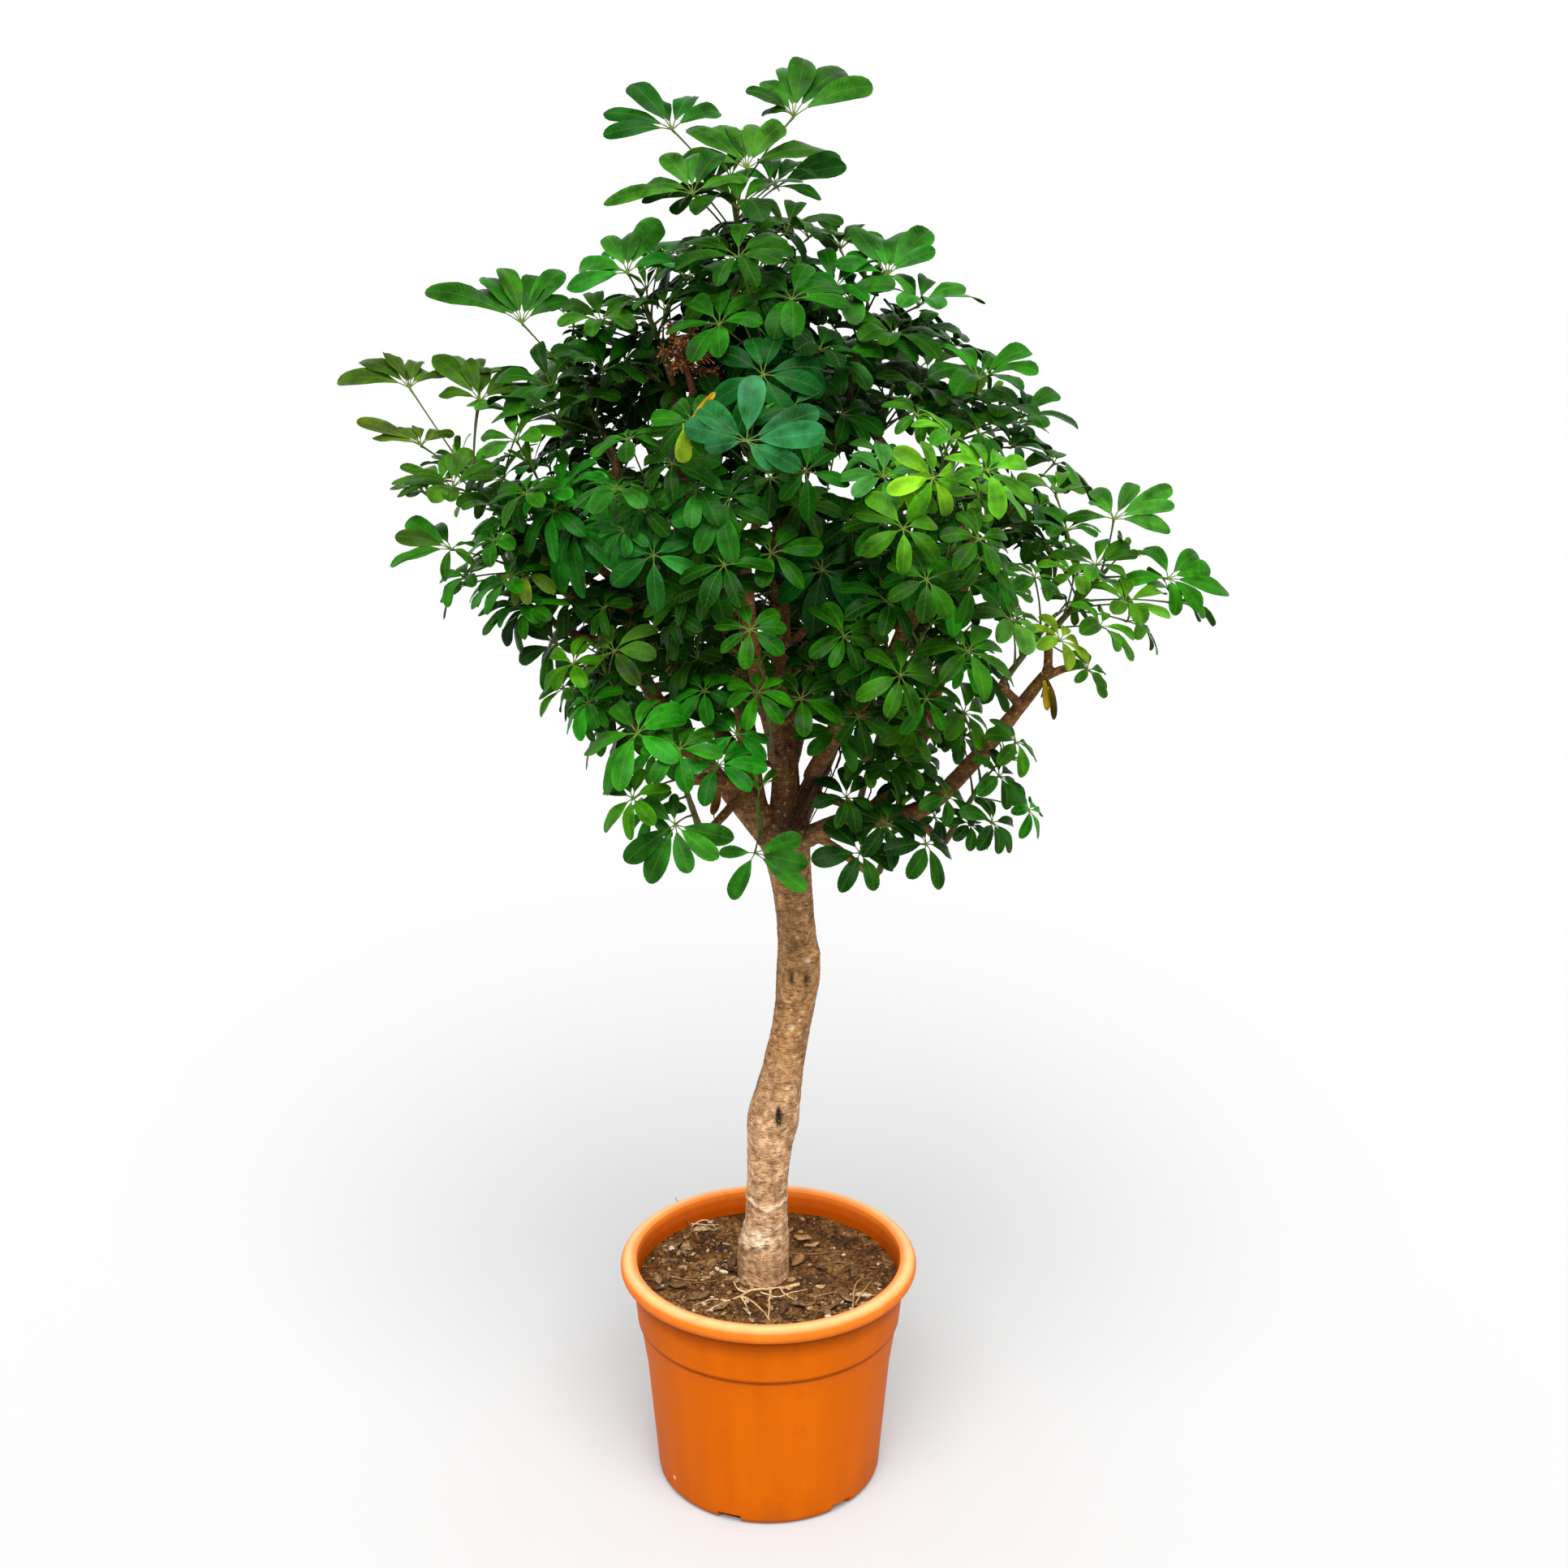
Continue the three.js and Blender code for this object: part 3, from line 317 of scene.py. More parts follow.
# Sizes of the damp patches, the grit and the dry specks.
DAMP_PATCH, GRIT, SPECK = 35, 4.5, 4


def towards_crust(x, y):
    """How far a spot lies towards the back right, where the soil has crusted."""
    return x * CRUST_RIGHT + y * CRUST_BACK


def bumps(form, x, y, layer):
    """Smooth uneven ground of a given height and width; each layer has its own."""
    height, width = form
    return height * noise.noise((x / width, y / width, layer))


def soil_height(x, y):
    """Height of the soil over its level: swells, lumps and crumbs, less where it has crusted."""
    crust = min(max((towards_crust(x, y) - CRUST_FROM) / CRUST_OVER, 0), 1)
    crumbs = abs(bumps(CRUMB, x, y, 1)) + bumps(GRAIN, x, y, 5)
    return bumps(SWELL, x, y, 3) + (1 - CRUST_FLAT * crust) * (bumps(LUMP, x, y, 8) + crumbs)


def soil_points():
    """The soil down to the pot's floor, with its uneven top in rings of equal area."""
    rings = [SOIL_EDGE * math.sqrt(i / SOIL_RINGS) for i in range(1, SOIL_RINGS + 1)]
    top_rings = [(r, SOIL_LEVEL) for r in (0, *rings)]
    profile = [*top_rings, *SOIL_WALL, (0, SOIL_WALL[-1][1])]
    points, faces = turned(profile, SOIL_SIDES)
    top = 1 + SOIL_RINGS * SOIL_SIDES
    raised = [(x, y, z + soil_height(x, y)) for x, y, z in points[:top]]
    return raised + points[top:], [face[::-1] for face in faces]


# Damp peat is nearly black-brown and matt, and dries to grey-tan on the highest crumbs.
potting_mix, tree, shader = new_surface(
    "peat_potting_mix", Roughness=0.95, Specular_IOR_Level=0.15)
coords = add_node(tree, "TexCoord").outputs["Object"]
patches = add_node(tree, "TexNoise", inputs={
    "Vector": coords, "Scale": 1000 / DAMP_PATCH, "Detail": 6})
earth = add_node(tree, "ValToRGB", inputs={0: patches.outputs[0]}, stops=[
    (0.3, "#40260f"), (0.5, "#66431e"), (0.68, "#866238")]).outputs[0]
grains = add_node(tree, "TexVoronoi", inputs={"Vector": coords, "Scale": 1000 / GRIT})
grain_tone = add_node(tree, "ValToRGB", inputs={0: grains.outputs["Color"]}, stops=[
    (0.1, "#544a40"), (0.55, "#c9bfae"), (0.8, "#ffffff"), (0.97, "#ffffff")]).outputs[0]
grainy = add_node(tree, "Mix", TINT, {0: 0.9, 6: earth, 7: grain_tone}).outputs[2]
specks = add_node(tree, "TexNoise", inputs={"Vector": coords, "Scale": 1000 / SPECK, "Detail": 3})
speck_share = add_node(tree, "MapRange", inputs={
    0: specks.outputs[0], 1: 0.66, 2: 0.74, 4: 0.85}).outputs[0]
speckled = add_node(tree, "Mix", OVER, {
    0: speck_share, 6: grainy, 7: linear("#b08f62")}).outputs[2]
tree.links.new(speckled, shader.inputs["Base Color"])
crumbs = add_node(tree, "Bump", inputs={"Strength": 0.9, "Distance": 0.0018,
                                        "Height": specks.outputs[0]}).outputs[0]
lumpy = add_node(tree, "Bump", inputs={"Strength": 0.7, "Distance": 0.002, "Normal": crumbs,
                                       "Height": grains.outputs["Distance"]}).outputs[0]
tree.links.new(lumpy, shader.inputs["Normal"])

soil = Shape()
soil.add(*soil_points())
soil.finish("potting_soil", [potting_mix], ["soil"], sharp=80)

# ---- Litter on the soil ------------------------------------------------------------------
# Chips of bark and old potting grit, dead leaflets that have curled as they dried, and bleached
# surface roots and twigs. All of it has fallen or grown there and simply lies on the soil.
CHIPS = 1050
CHIP_SIZES = [2.5, 3, 4, 5, 6.5, 9, 11]
CHIP_TONES = ["#3a2414", "#4c331d", "#664a2c", "#80623d", "#a5845a", "#c3a67c", "#d9cbb4"]
# The share of chips in the five darker tones, and the share that is missing from the crust.
DARK_CHIPS, CRUST_BARE = 0.85, 0.72
TRUNK_CLEAR, LITTER_REACH, CRUSTED = 36, 168, 40
BIT_GRAIN = 4
# The pebbles and pale chips that stand out: x, y, size, colour.
PEBBLES = [
    (-145, 36, 12, "#8f7a5a"), (123, -55, 13, "#cbb28d"), (55, -91, 15, "#c9ab80"),
    (-118, 12, 9, "#7a5f3f"), (88, -78, 10, "#9d7b52"), (150, 24, 5, "#e6dccb"),
    (24, 28, 5, "#f2eadc"), (-60, 60, 9, "#8b6b45"),
]


def tone_of(colour, shade=1.0):
    """A vertex colour from a hex one, lighter or darker by a share."""
    r, g, b, _ = linear(colour)
    return (r * shade, g * shade, b * shade, 1)


def on_soil(x, y, lift):
    """A point this far over the soil's surface."""
    return Vector((x, y, SOIL_LEVEL + soil_height(x, y) + lift))


def random_spot(dice, inner, outer):
    """An even random spot on the soil between two distances from the pot's centre line."""
    radius = math.sqrt(dice.uniform(inner ** 2, outer ** 2))
    turn = dice.uniform(0, 2 * math.pi)
    return radius * math.cos(turn), radius * math.sin(turn)


def frames_along(path):
    """A heading and two square sides at each point of a path, turned as little as can be."""
    path = [Vector(p) for p in path]
    headings = []
    for i in range(len(path)):
        headings.append((path[min(i + 1, len(path) - 1)] - path[max(i - 1, 0)]).normalized())
    side = headings[0].orthogonal().normalized()
    frames = []
    for heading in headings:
        side = (side - heading * side.dot(heading)).normalized()
        frames.append((heading, side, heading.cross(side)))
    return frames


def tube(path, radii, sides):
    """Points and faces of a closed round tube along a path, with its own radius at each point."""
    points, faces = [], []
    for centre, radius, (_, side, front) in zip(path, radii, frames_along(path)):
        for s in range(sides):
            turn = 2 * math.pi * s / sides
            offset = side * math.cos(turn) + front * math.sin(turn)
            points.append(Vector(centre) + offset * radius)
    for ring in range(len(path) - 1):
        for s in range(sides):
            a, b = ring * sides + s, ring * sides + (s + 1) % sides
            faces.append((a, b, b + sides, a + sides))
    last = (len(path) - 1) * sides
    faces.append(tuple(range(sides))[::-1])
    faces.append(tuple(range(last, last + sides)))
    return points, faces


def smooth_path(stations, steps):
    """A centripetal Catmull-Rom curve through stations of any width, with steps on each span."""
    ends = [2 * stations[0] - stations[1], 2 * stations[-1] - stations[-2]]
    line = [ends[0], *stations, ends[1]]
    path = []
    for i in range(1, len(line) - 2):
        p0, p1, p2, p3 = line[i - 1:i + 3]
        spans = ((p0, p1), (p1, p2), (p2, p3))
        k = [max(np.linalg.norm((b - a)[:3]), 1e-6) ** 0.5 for a, b in spans]
        leave = ((p1 - p0) / k[0] - (p2 - p0) / (k[0] + k[1]) + (p2 - p1) / k[1]) * k[1]
        arrive = ((p2 - p1) / k[1] - (p3 - p1) / (k[1] + k[2]) + (p3 - p2) / k[2]) * k[1]
        for t in np.arange(steps) / steps:
            path.append(
                (2 * t ** 3 - 3 * t ** 2 + 1) * p1 + (t ** 3 - 2 * t ** 2 + t) * leave
                + (3 * t ** 2 - 2 * t ** 3) * p2 + (t ** 3 - t ** 2) * arrive
            )
    return [*path, stations[-1]]


def thin_sheet(grid, thickness):
    """Points and faces of a closed thin sheet. The grid holds rows of points of its upper side."""
    rows, columns, _ = grid.shape
    along = np.gradient(grid, axis=0)
    across = np.gradient(grid, axis=1)
    normal = np.cross(across, along)
    normal /= np.linalg.norm(normal, axis=2, keepdims=True) + 1e-9
    points = np.concatenate([grid.reshape(-1, 3), (grid - normal * thickness).reshape(-1, 3)])
    under = rows * columns
    faces, below = [], []
    for r in range(rows - 1):
        for c in range(columns - 1):
            a = r * columns + c
            quad = (a, a + 1, a + 1 + columns, a + columns)
            faces.append(quad)
            below.append(tuple(under + i for i in quad[::-1]))
    edge = list(range(columns))
    edge += [r * columns + columns - 1 for r in range(1, rows)]
    edge += [(rows - 1) * columns + c for c in range(columns - 2, -1, -1)]
    edge += [r * columns for r in range(rows - 2, 0, -1)]
    rim = []
    for a, b in zip(edge, edge[1:] + edge[:1]):
        rim.append((b, a, under + a, under + b))
    return points, faces, below, rim


def chip(dice, spot, size, tone, shape):
    """One chip: a flattened, knocked-about lump that is half sunk in the soil."""
    golden = (1 + 5 ** 0.5) / 2
    corners = [Vector(c) for c in (
        (-1, golden, 0), (1, golden, 0), (-1, -golden, 0), (1, -golden, 0),
        (0, -1, golden), (0, 1, golden), (0, -1, -golden), (0, 1, -golden),
        (golden, 0, -1), (golden, 0, 1), (-golden, 0, -1), (-golden, 0, 1))]
    faces = [
        (0, 11, 5), (0, 5, 1), (0, 1, 7), (0, 7, 10), (0, 10, 11), (1, 5, 9), (5, 11, 4),
        (11, 10, 2), (10, 7, 6), (7, 1, 8), (3, 9, 4), (3, 4, 2), (3, 2, 6), (3, 6, 8), (3, 8, 9),
        (4, 9, 5), (2, 4, 11), (6, 2, 10), (8, 6, 7), (9, 8, 1)]
    turn = Matrix.Rotation(dice.uniform(0, 2 * math.pi), 3, "Z")
    tip = Matrix.Rotation(dice.uniform(-0.5, 0.5), 3, "X")
    stretch = Vector((dice.uniform(0.8, 1.7), dice.uniform(0.5, 1), dice.uniform(0.3, 0.65)))
    points = []
    for corner in corners:
        knocked = corner * dice.uniform(0.75, 1.15) * size / 4
        points.append(spot + turn @ (tip @ (knocked * stretch)))
    shape.add(points, faces, tone)


# Weathered bark and wood: each bit has its own brown, matt, with a finer grain inside it.
weathered_bits, tree, shader = new_surface(
    "weathered_bark_and_leaf", Roughness=0.85, Specular_IOR_Level=0.25)
tone = add_node(tree, "Attribute", {"attribute_name": "tone"}).outputs["Color"]
coords = add_node(tree, "TexCoord").outputs["Object"]
grain = add_node(tree, "TexNoise", inputs={
    "Vector": coords, "Scale": 1000 / BIT_GRAIN, "Detail": 5})
grain_tone = add_node(tree, "ValToRGB", inputs={0: grain.outputs[0]}, stops=[
    (0.25, "#a2978c"), (0.75, "#ffffff")]).outputs[0]
shaded = add_node(tree, "Mix", TINT, {0: 1.0, 6: tone, 7: grain_tone}).outputs[2]
tree.links.new(shaded, shader.inputs["Base Color"])
rough = add_node(tree, "Bump", inputs={"Strength": 0.5, "Distance": 0.0006,
                                       "Height": grain.outputs[0]}).outputs[0]
tree.links.new(rough, shader.inputs["Normal"])

chips = Shape()
dice = random.Random(21)
for _ in range(CHIPS):
    x, y = random_spot(dice, TRUNK_CLEAR, LITTER_REACH)
    if towards_crust(x, y) > CRUSTED and dice.random() < CRUST_BARE:
        continue
    size = dice.choice(CHIP_SIZES)
    shade = dice.choice(CHIP_TONES[:5] if dice.random() < DARK_CHIPS else CHIP_TONES[4:])
    chip(dice, on_soil(x, y, 0.12 * size), size, tone_of(shade), chips)
for x, y, size, shade in PEBBLES:
    chip(dice, on_soil(x, y, 0.15 * size), size, tone_of(shade), chips)
chips.finish("bark_chips", [weathered_bits], sharp=30)

# Dead leaflets: x, y, heading in degrees, length, width, colour. The rest are small and lie
# anywhere but on the crust.
DEAD_LEAVES = [
    (48, 92, -30, 30, 14, "#b98c5c"), (60, 76, 10, 22, 11, "#c3966a"),
    (40, 28, 60, 28, 14, "#a47a4a"), (48, -88, -15, 34, 14, "#8a6444"),
    (82, -92, 30, 38, 14, "#7a5438"), (104, -70, -50, 28, 12, "#a88560"),
    (-92, -62, 20, 34, 13, "#7f6038"), (-120, -38, -20, 30, 12, "#6b4c2c"),
    (-96, 118, 5, 26, 11, "#b79a6c"), (-60, -92, 40, 30, 12, "#8d6c45"),
    (20, -96, 80, 28, 12, "#5f4027"), (118, 2, 70, 26, 10, "#6f5034"),
    (-128, 76, 50, 26, 11, "#7a5b3a"), (-148, -20, 100, 24, 10, "#8a6a46"),
    (70, 12, -60, 24, 9, "#5e4229"),
]
SMALL_DEAD, SMALL_DEAD_TONES = 60, ["#5d4025", "#77583a", "#93734c", "#4a3220"]


def dead_leaf(dice, spot, heading, length, width, tone, shape):
    """A dried leaflet: pointed, cupped along its middle and curled up towards one end."""
    rows, columns = 8, 5
    grid = np.zeros((rows, columns, 3))
    tones = []
    curl = dice.uniform(0.15, 0.5)
    cup = dice.uniform(0.2, 0.8)
    turn = Matrix.Rotation(math.radians(heading), 3, "Z")
    roll = Matrix.Rotation(dice.uniform(-0.35, 0.35), 3, "X")
    for r in range(rows):
        s = r / (rows - 1)
        half = width / 2 * max(0.1, math.sin(math.pi * min(s * 0.9 + 0.08, 1)) ** 0.8)
        for c in range(columns):
            side = 2 * c / (columns - 1) - 1
            lift = curl * length * (s - 0.3) ** 2 + cup * half * side ** 2
            ripple = 1.1 * math.sin(9 * s + 4 * side + length)
            point = turn @ (roll @ Vector(((s - 0.5) * length, side * half, lift + ripple)))
            grid[r, c] = spot + point
            worn = 1.1 - 0.5 * side ** 2 - 0.5 * (s - 0.5) ** 2 + 0.2 * math.sin(5 * s + length)
            tones.append(tuple(channel * worn for channel in tone[:3]) + (1,))
    points, faces, below, rim = thin_sheet(grid, -0.5)
    shape.add(points, [f[::-1] for f in faces + below + rim], tones + tones)


dead_leaflets = Shape()
for x, y, heading, length, width, shade in DEAD_LEAVES:
    dead_leaf(dice, on_soil(x, y, 1.5), heading, length, width, tone_of(shade), dead_leaflets)
for _ in range(SMALL_DEAD):
    x, y = random_spot(dice, TRUNK_CLEAR + 8, LITTER_REACH - 14)
    length = dice.uniform(9, 20)
    shade = dice.choice(SMALL_DEAD_TONES)
    if towards_crust(x, y) < CRUSTED:
        dead_leaf(dice, on_soil(x, y, 1), dice.uniform(0, 360), length, length * 0.4,
                  tone_of(shade), dead_leaflets)
dead_leaflets.finish("dead_leaflets", [weathered_bits], sharp=70)

# Bleached roots and twigs: radius at the start, colour, then the points they pass in plan, with
# the height over the soil where they rise.
ROOT_TAN, ROOT_PALE, TWIG_RED = "#d2b183", "#dcc49c", "#9a5a2a"
STRAND_TAPER, STRAND_WAVER = 0.6, 1.5
STRANDS = [
    (2.6, ROOT_TAN, [(42, -33), (21, -37), (2, -41, 1), (-24, -46, 1), (-36, -58), (-58, -76),
                     (-80, -99)]),
    (1.6, ROOT_PALE, [(-28, -52, 1), (-40, -46, 3), (-47, -28, 5)]),
    (1.8, ROOT_TAN, [(-37, -60, 1), (-23, -70, 1), (-8, -93), (2, -119)]),
    (1.3, ROOT_PALE, [(-36, -62, 1), (-28, -88), (-23, -108)]),
    (2.0, ROOT_TAN, [(3, -38, 1), (2, -76, 1), (1, -118)]),
    (1.5, ROOT_TAN, [(15, -38, 1), (22, -58, 1), (40, -76)]),
    (1.2, ROOT_PALE, [(-10, -52, 1), (12, -62, 2), (30, -54, 1), (52, -40)]),
    (1.2, ROOT_PALE, [(-50, -72), (-74, -70, 1), (-96, -82)]),
    (1.3, TWIG_RED, [(-98, 88), (-110, 112, 8), (-120, 132, 16), (-134, 152, 34)]),
    (1.2, ROOT_PALE, [(-110, 126, 2), (-96, 140, 6), (-84, 134, 5), (-76, 122, 1)]),
    (1.0, ROOT_PALE, [(-104, 108, 1), (-92, 122, 5), (-80, 118, 2), (-70, 128)]),
    (1.1, ROOT_PALE, [(-112, 136), (-90, 128, 4), (-72, 134, 1)]),
    (1.6, "#b08a5a", [(112, -92), (113, -66, 3), (117, -42, 7), (128, -14, 3)]),
    (1.4, "#b08a5a", [(114, -80, 1), (124, -62, 6), (134, -40, 7), (140, -22, 1)]),
    (1.1, "#c4a271", [(110, -60, 2), (128, -66, 5), (146, -58, 1)]),
    (1.2, "#8a6540", [(86, -50), (104, -64, 4), (120, -86, 2)]),
    (1.3, "#8a6540", [(30, 52), (62, 48, 3), (96, 56, 1), (118, 50)]),
    (1.0, "#8a6540", [(66, 20), (98, 26, 2), (128, 18)]),
    (1.1, "#a58458", [(-140, -2), (-122, -16, 2), (-98, -20)]),
    (1.2, "#6e4c2c", [(-88, 40), (-64, 30, 2), (-44, 34)]),
    (1.3, "#7d5a36", [(-70, -20), (-98, -30, 2), (-124, -22)]),
    (1.1, "#a58458", [(60, -62), (80, -56, 3), (98, -46)]),
]
strands = Shape()
for radius, shade, plan in STRANDS:
    stations = [np.array([*on_soil(p[0], p[1], radius * 0.6 + (p[2] if len(p) > 2 else 0))])
                for p in plan]
    path = [Vector(p) for p in smooth_path(stations, 5)]
    for i, p in enumerate(path[1:], 1):
        bend = Vector((noise.noise(p / 9), noise.noise(p / 9 + Vector((5, 5, 5))), 0))
        path[i] = p + bend * STRAND_WAVER
    radii = [radius * (1 - STRAND_TAPER * i / (len(path) - 1)) for i in range(len(path))]
    strands.add(*tube(path, radii, 7), tone_of(shade))
strands.finish("surface_roots_and_twigs", [weathered_bits])

# ---- Trunk, limbs and twigs --------------------------------------------------------------
# One piece of living wood. The trunk bends twice and swells where old branches were cut off;
# it forks at 0.9 m into limbs that rise through the crown, each ending in twigs.
# The trunk goes straight down into the soil. Above it: height, x, thickness, up into the fork.
TRUNK_FOOT = {"heights": (183, 240, 296), "x": -7, "radius": 31.5}
TRUNK = [
    (334, -6.5, 64), (370, -3, 57), (432, -1, 54), (480, 2, 59), (522, 7, 68), (555, 13, 60),
    (597, 20.5, 53), (666, 33, 50), (734, 40, 56), (779, 37.5, 49), (840, 32, 50), (900, 24, 58),
    (925, 21, 48),
]
# Limbs: seen x, seen height, depth, radius.
LIMBS = {
    "leader": [(21, 880, 0, 25), (23, 1000, 0, 16.5), (18, 1120, 0, 13), (16, 1283, 0, 11),
               (20, 1330, 4, 10), (2, 1450, 4, 8.5), (-18, 1545, 4, 6.5)],
    "left": [(14, 885, -5, 16), (-13, 950, -10, 14), (-25, 1038, -15, 12.5), (-50, 1200, -30, 10),
             (-84, 1310, -24, 8.5), (-116, 1410, -14, 6.5)],
    "left_outer": [(0, 905, -5, 12), (-60, 985, 0, 11), (-156, 1122, 0, 9), (-172, 1200, 0, 8),
                   (-192, 1318, 0, 6.5)],
    "left_low": [(-150, 1112, 0, 8), (-205, 1190, -8, 7.5), (-290, 1262, -5, 6)],
    "right": [(24, 900, 5, 16), (83, 1041, 12, 12), (132, 1169, 18, 10.5), (158, 1270, 20, 8.5),
              (155, 1375, 8, 6.5)],
    "right_low": [(24, 895, -5, 14), (88, 926, -12, 12.5), (193, 946, -20, 11),
                  (264, 1015, -15, 10), (345, 1120, 0, 7)],
    "right_outer": [(122, 934, -14, 9), (177, 1000, 10, 9), (224, 1155, 20, 8),
                    (250, 1275, 6, 6.5)],
    "front": [(20, 985, -4, 12), (6, 1055, -75, 11), (-18, 1150, -175, 9.5),
              (-26, 1255, -222, 6.5)],
    "front_left": [(-12, 960, -14, 9), (-60, 985, -80, 8), (-98, 985, -140, 6)],
    "front_right": [(56, 990, 6, 11), (90, 1050, -85, 10), (150, 1135, -185, 8.5),
                    (182, 1215, -220, 6.5)],
    "back": [(22, 985, 4, 12), (38, 1060, 85, 11), (32, 1190, 180, 9), (14, 1300, 205, 6.5)],
    "back_left": [(-20, 995, -8, 11), (-80, 1075, 75, 10), (-150, 1180, 155, 8),
                  (-185, 1255, 165, 6.5)],
    "back_right": [(66, 1010, 10, 11), (115, 1080, 85, 10), (190, 1180, 160, 8),
                   (228, 1255, 172, 6.5)],
}
# The limb that carries each shoot.
LIMB_OF = {
    "crown_top": "leader", "upper_left": "left", "upper_right": "right", "left_high": "left_outer",
    "left_far": "left_low", "left_low": "left_low", "left_inner": "left_outer",
    "front_top": "leader", "front_centre": "front", "front_left_mid": "left",
    "bright_right": "front_right", "right_upper": "right_outer", "right_mid_front": "front_right",
    "right_far": "right_low", "right_mid": "right_low", "centre_low": "front",
    "right_low_front": "front_right", "low_centre": "front", "low_left": "front_left",
    "low_left_outer": "left_outer", "fork_front": "left", "low_right": "right_low",
    "low_right_outer": "right_low", "inner_right": "right", "inner_centre": "leader",
    "back_top": "leader", "back_high_left": "back_left", "back_high_right": "back_right",
    "back_middle": "back", "back_left": "back_left", "back_right": "back_right",
    "back_mid_left": "back_left", "back_mid_right": "back_right", "back_low": "back",
    "back_low_left": "back_left", "back_low_right": "back_right",
}
# A twig starts this far below its shoot or lower, if it can, at one of TWIG_STARTS places along
# the limb. It follows the limb and then the shoot over these shares of its length.
TWIG_DROP = 40
TWIG_LEAVE, TWIG_ARRIVE = 0.25, 0.2
TWIG_POINTS, TWIG_RADII = 9, (6.0, 5.4, 4.6)
LIMB_STEPS, TWIG_STARTS = 12, 20
STEM_FOOT_RADIUS, STEM_TIP_RADIUS = 4.2, 2.6
STEM_LENGTH = 95
SHORT_STEMS = {"fork_front": 50, "low_right": 60}
FLOWER_STEM_LENGTH = 50
TRUNK_SIDES, LIMB_SIDES, TWIG_SIDES, STUB_SIDES = 28, 14, 9, 8
TRUNK_RINGS, LIMB_RINGS = 6, 8
# A snag at the fork, a cut stub low on the right limb, and the swellings on the trunk.
SNAG = [(21, -4, 1008), (0, -16, 1011), (-19, -20, 1013)]
STUB = [(343, 1118, -2), (366, 1128, -4), (384, 1132, -4)]
SWELLINGS = [
    ((53, -8, 752), 15), ((54, -6, 738), 10), ((-11, -14, 541), 14), ((25, -16, 522), 14),
    ((30, -8, 541), 12), ((-14, -6, 520), 13), ((-28, -14, 337), 9), ((-31, -6, 330), 8),
    ((14, 8, 905), 27), ((16, -16, 908), 14),
]
SWELLING_FORM = [(-1, 0.3), (-0.5, 0.85), (0, 1), (0.5, 0.85), (1, 0.3)]
# Cell size for welding the wood, and how much its skin is eased.
WOOD_VOXEL, WOOD_EASE, EASE_ROUNDS = 1.9, 0.5, 4


def welded(node):
    """A node's points in millimetres with doubles merged, its faces, and each point's fellows."""
    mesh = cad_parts[node].data
    seen, merged, points = {}, [], []
    for vertex in mesh.vertices:
        key = tuple(round(c * 1e6 / 2) for c in vertex.co)
        if key not in seen:
            seen[key] = len(points)
            points.append(vertex.co * 1000)
        merged.append(seen[key])
    faces = [tuple(merged[i] for i in polygon.vertices) for polygon in mesh.polygons]
    fellows = [set() for _ in points]
    for face in faces:
        for i, a in enumerate(face):
            b = face[(i + 1) % len(face)]
            fellows[a].add(b)
            fellows[b].add(a)
    return points, faces, fellows


def even_triangle(a, b, c, radius):
    """Whether three points make an even triangle in a circle of this radius."""
    side = radius * math.sqrt(3)
    return max(abs((p - q).length - side) for p, q in ((a, b), (b, c), (c, a))) < 0.03


def stem_of(points, faces, length):
    """Foot, tip and heading of a shoot's stem, from the plain triangle at its foot."""
    for face in faces:
        a, b, c = (points[i] for i in face)
        if even_triangle(a, b, c, STEM_FOOT_RADIUS):
            foot = (a + b + c) / 3
            heading = (b - a).cross(a - c).normalized()
            return foot, foot + heading * length, heading
    raise ValueError("no stem foot in this solid")


def limb_stations(name):
    """Places along a limb with its radius there."""
    return [np.array([*seen_at(x, z, depth), radius]) for x, z, depth, radius in LIMBS[name]]


def twig_path(limb, foot, heading):
    """The twig from a limb to a shoot's foot; it leaves the limb below the shoot."""
    line = smooth_path(limb_stations(limb), LIMB_STEPS)
    spans = len(LIMBS[limb]) - 1
    best, start = math.inf, 1
    for i in range(2, TWIG_STARTS + 1):
        at = round(i / TWIG_STARTS * LIMB_STEPS * spans)
        point = Vector(line[at][:3])
        cost = (point - foot).length + 3 * max(0, TWIG_DROP - (foot.z - point.z))
        if cost < best:
            best, start = cost, at
    origin = Vector(line[start][:3])
    onward = Vector(line[min(start + 1, len(line) - 1)][:3]) - Vector(line[max(start - 1, 0)][:3])
    reach = (foot - origin).length
    leave = origin + onward.normalized() * reach * TWIG_LEAVE
    arrive = foot - heading * reach * TWIG_ARRIVE
    shares = np.linspace(0, 1, TWIG_POINTS)
    path = []
    for t in shares:
        path.append(origin * (1 - t) ** 3 + leave * 3 * t * (1 - t) ** 2
                    + arrive * 3 * t ** 2 * (1 - t) + foot * t ** 3)
    return path, np.interp(shares, (0, 0.5, 1), TWIG_RADII)


def swept(stations, steps, sides, shape):
    """Adds a limb as a tube through stations that each hold a place and a radius."""
    path = smooth_path(stations, steps)
    shape.add(*tube([Vector(p[:3]) for p in path], [p[3] for p in path], sides))


shoot_names = sorted(n[len("shoot_"):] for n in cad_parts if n.startswith("shoot_"))
cad_shoots = {name: welded("shoot_" + name) for name in shoot_names}
stems = {name: stem_of(points, faces, SHORT_STEMS.get(name, STEM_LENGTH))
         for name, (points, faces, _) in cad_shoots.items()}
flower_points, flower_faces, _ = welded("spent_flower")
flower_stem = stem_of(flower_points, flower_faces, FLOWER_STEM_LENGTH)

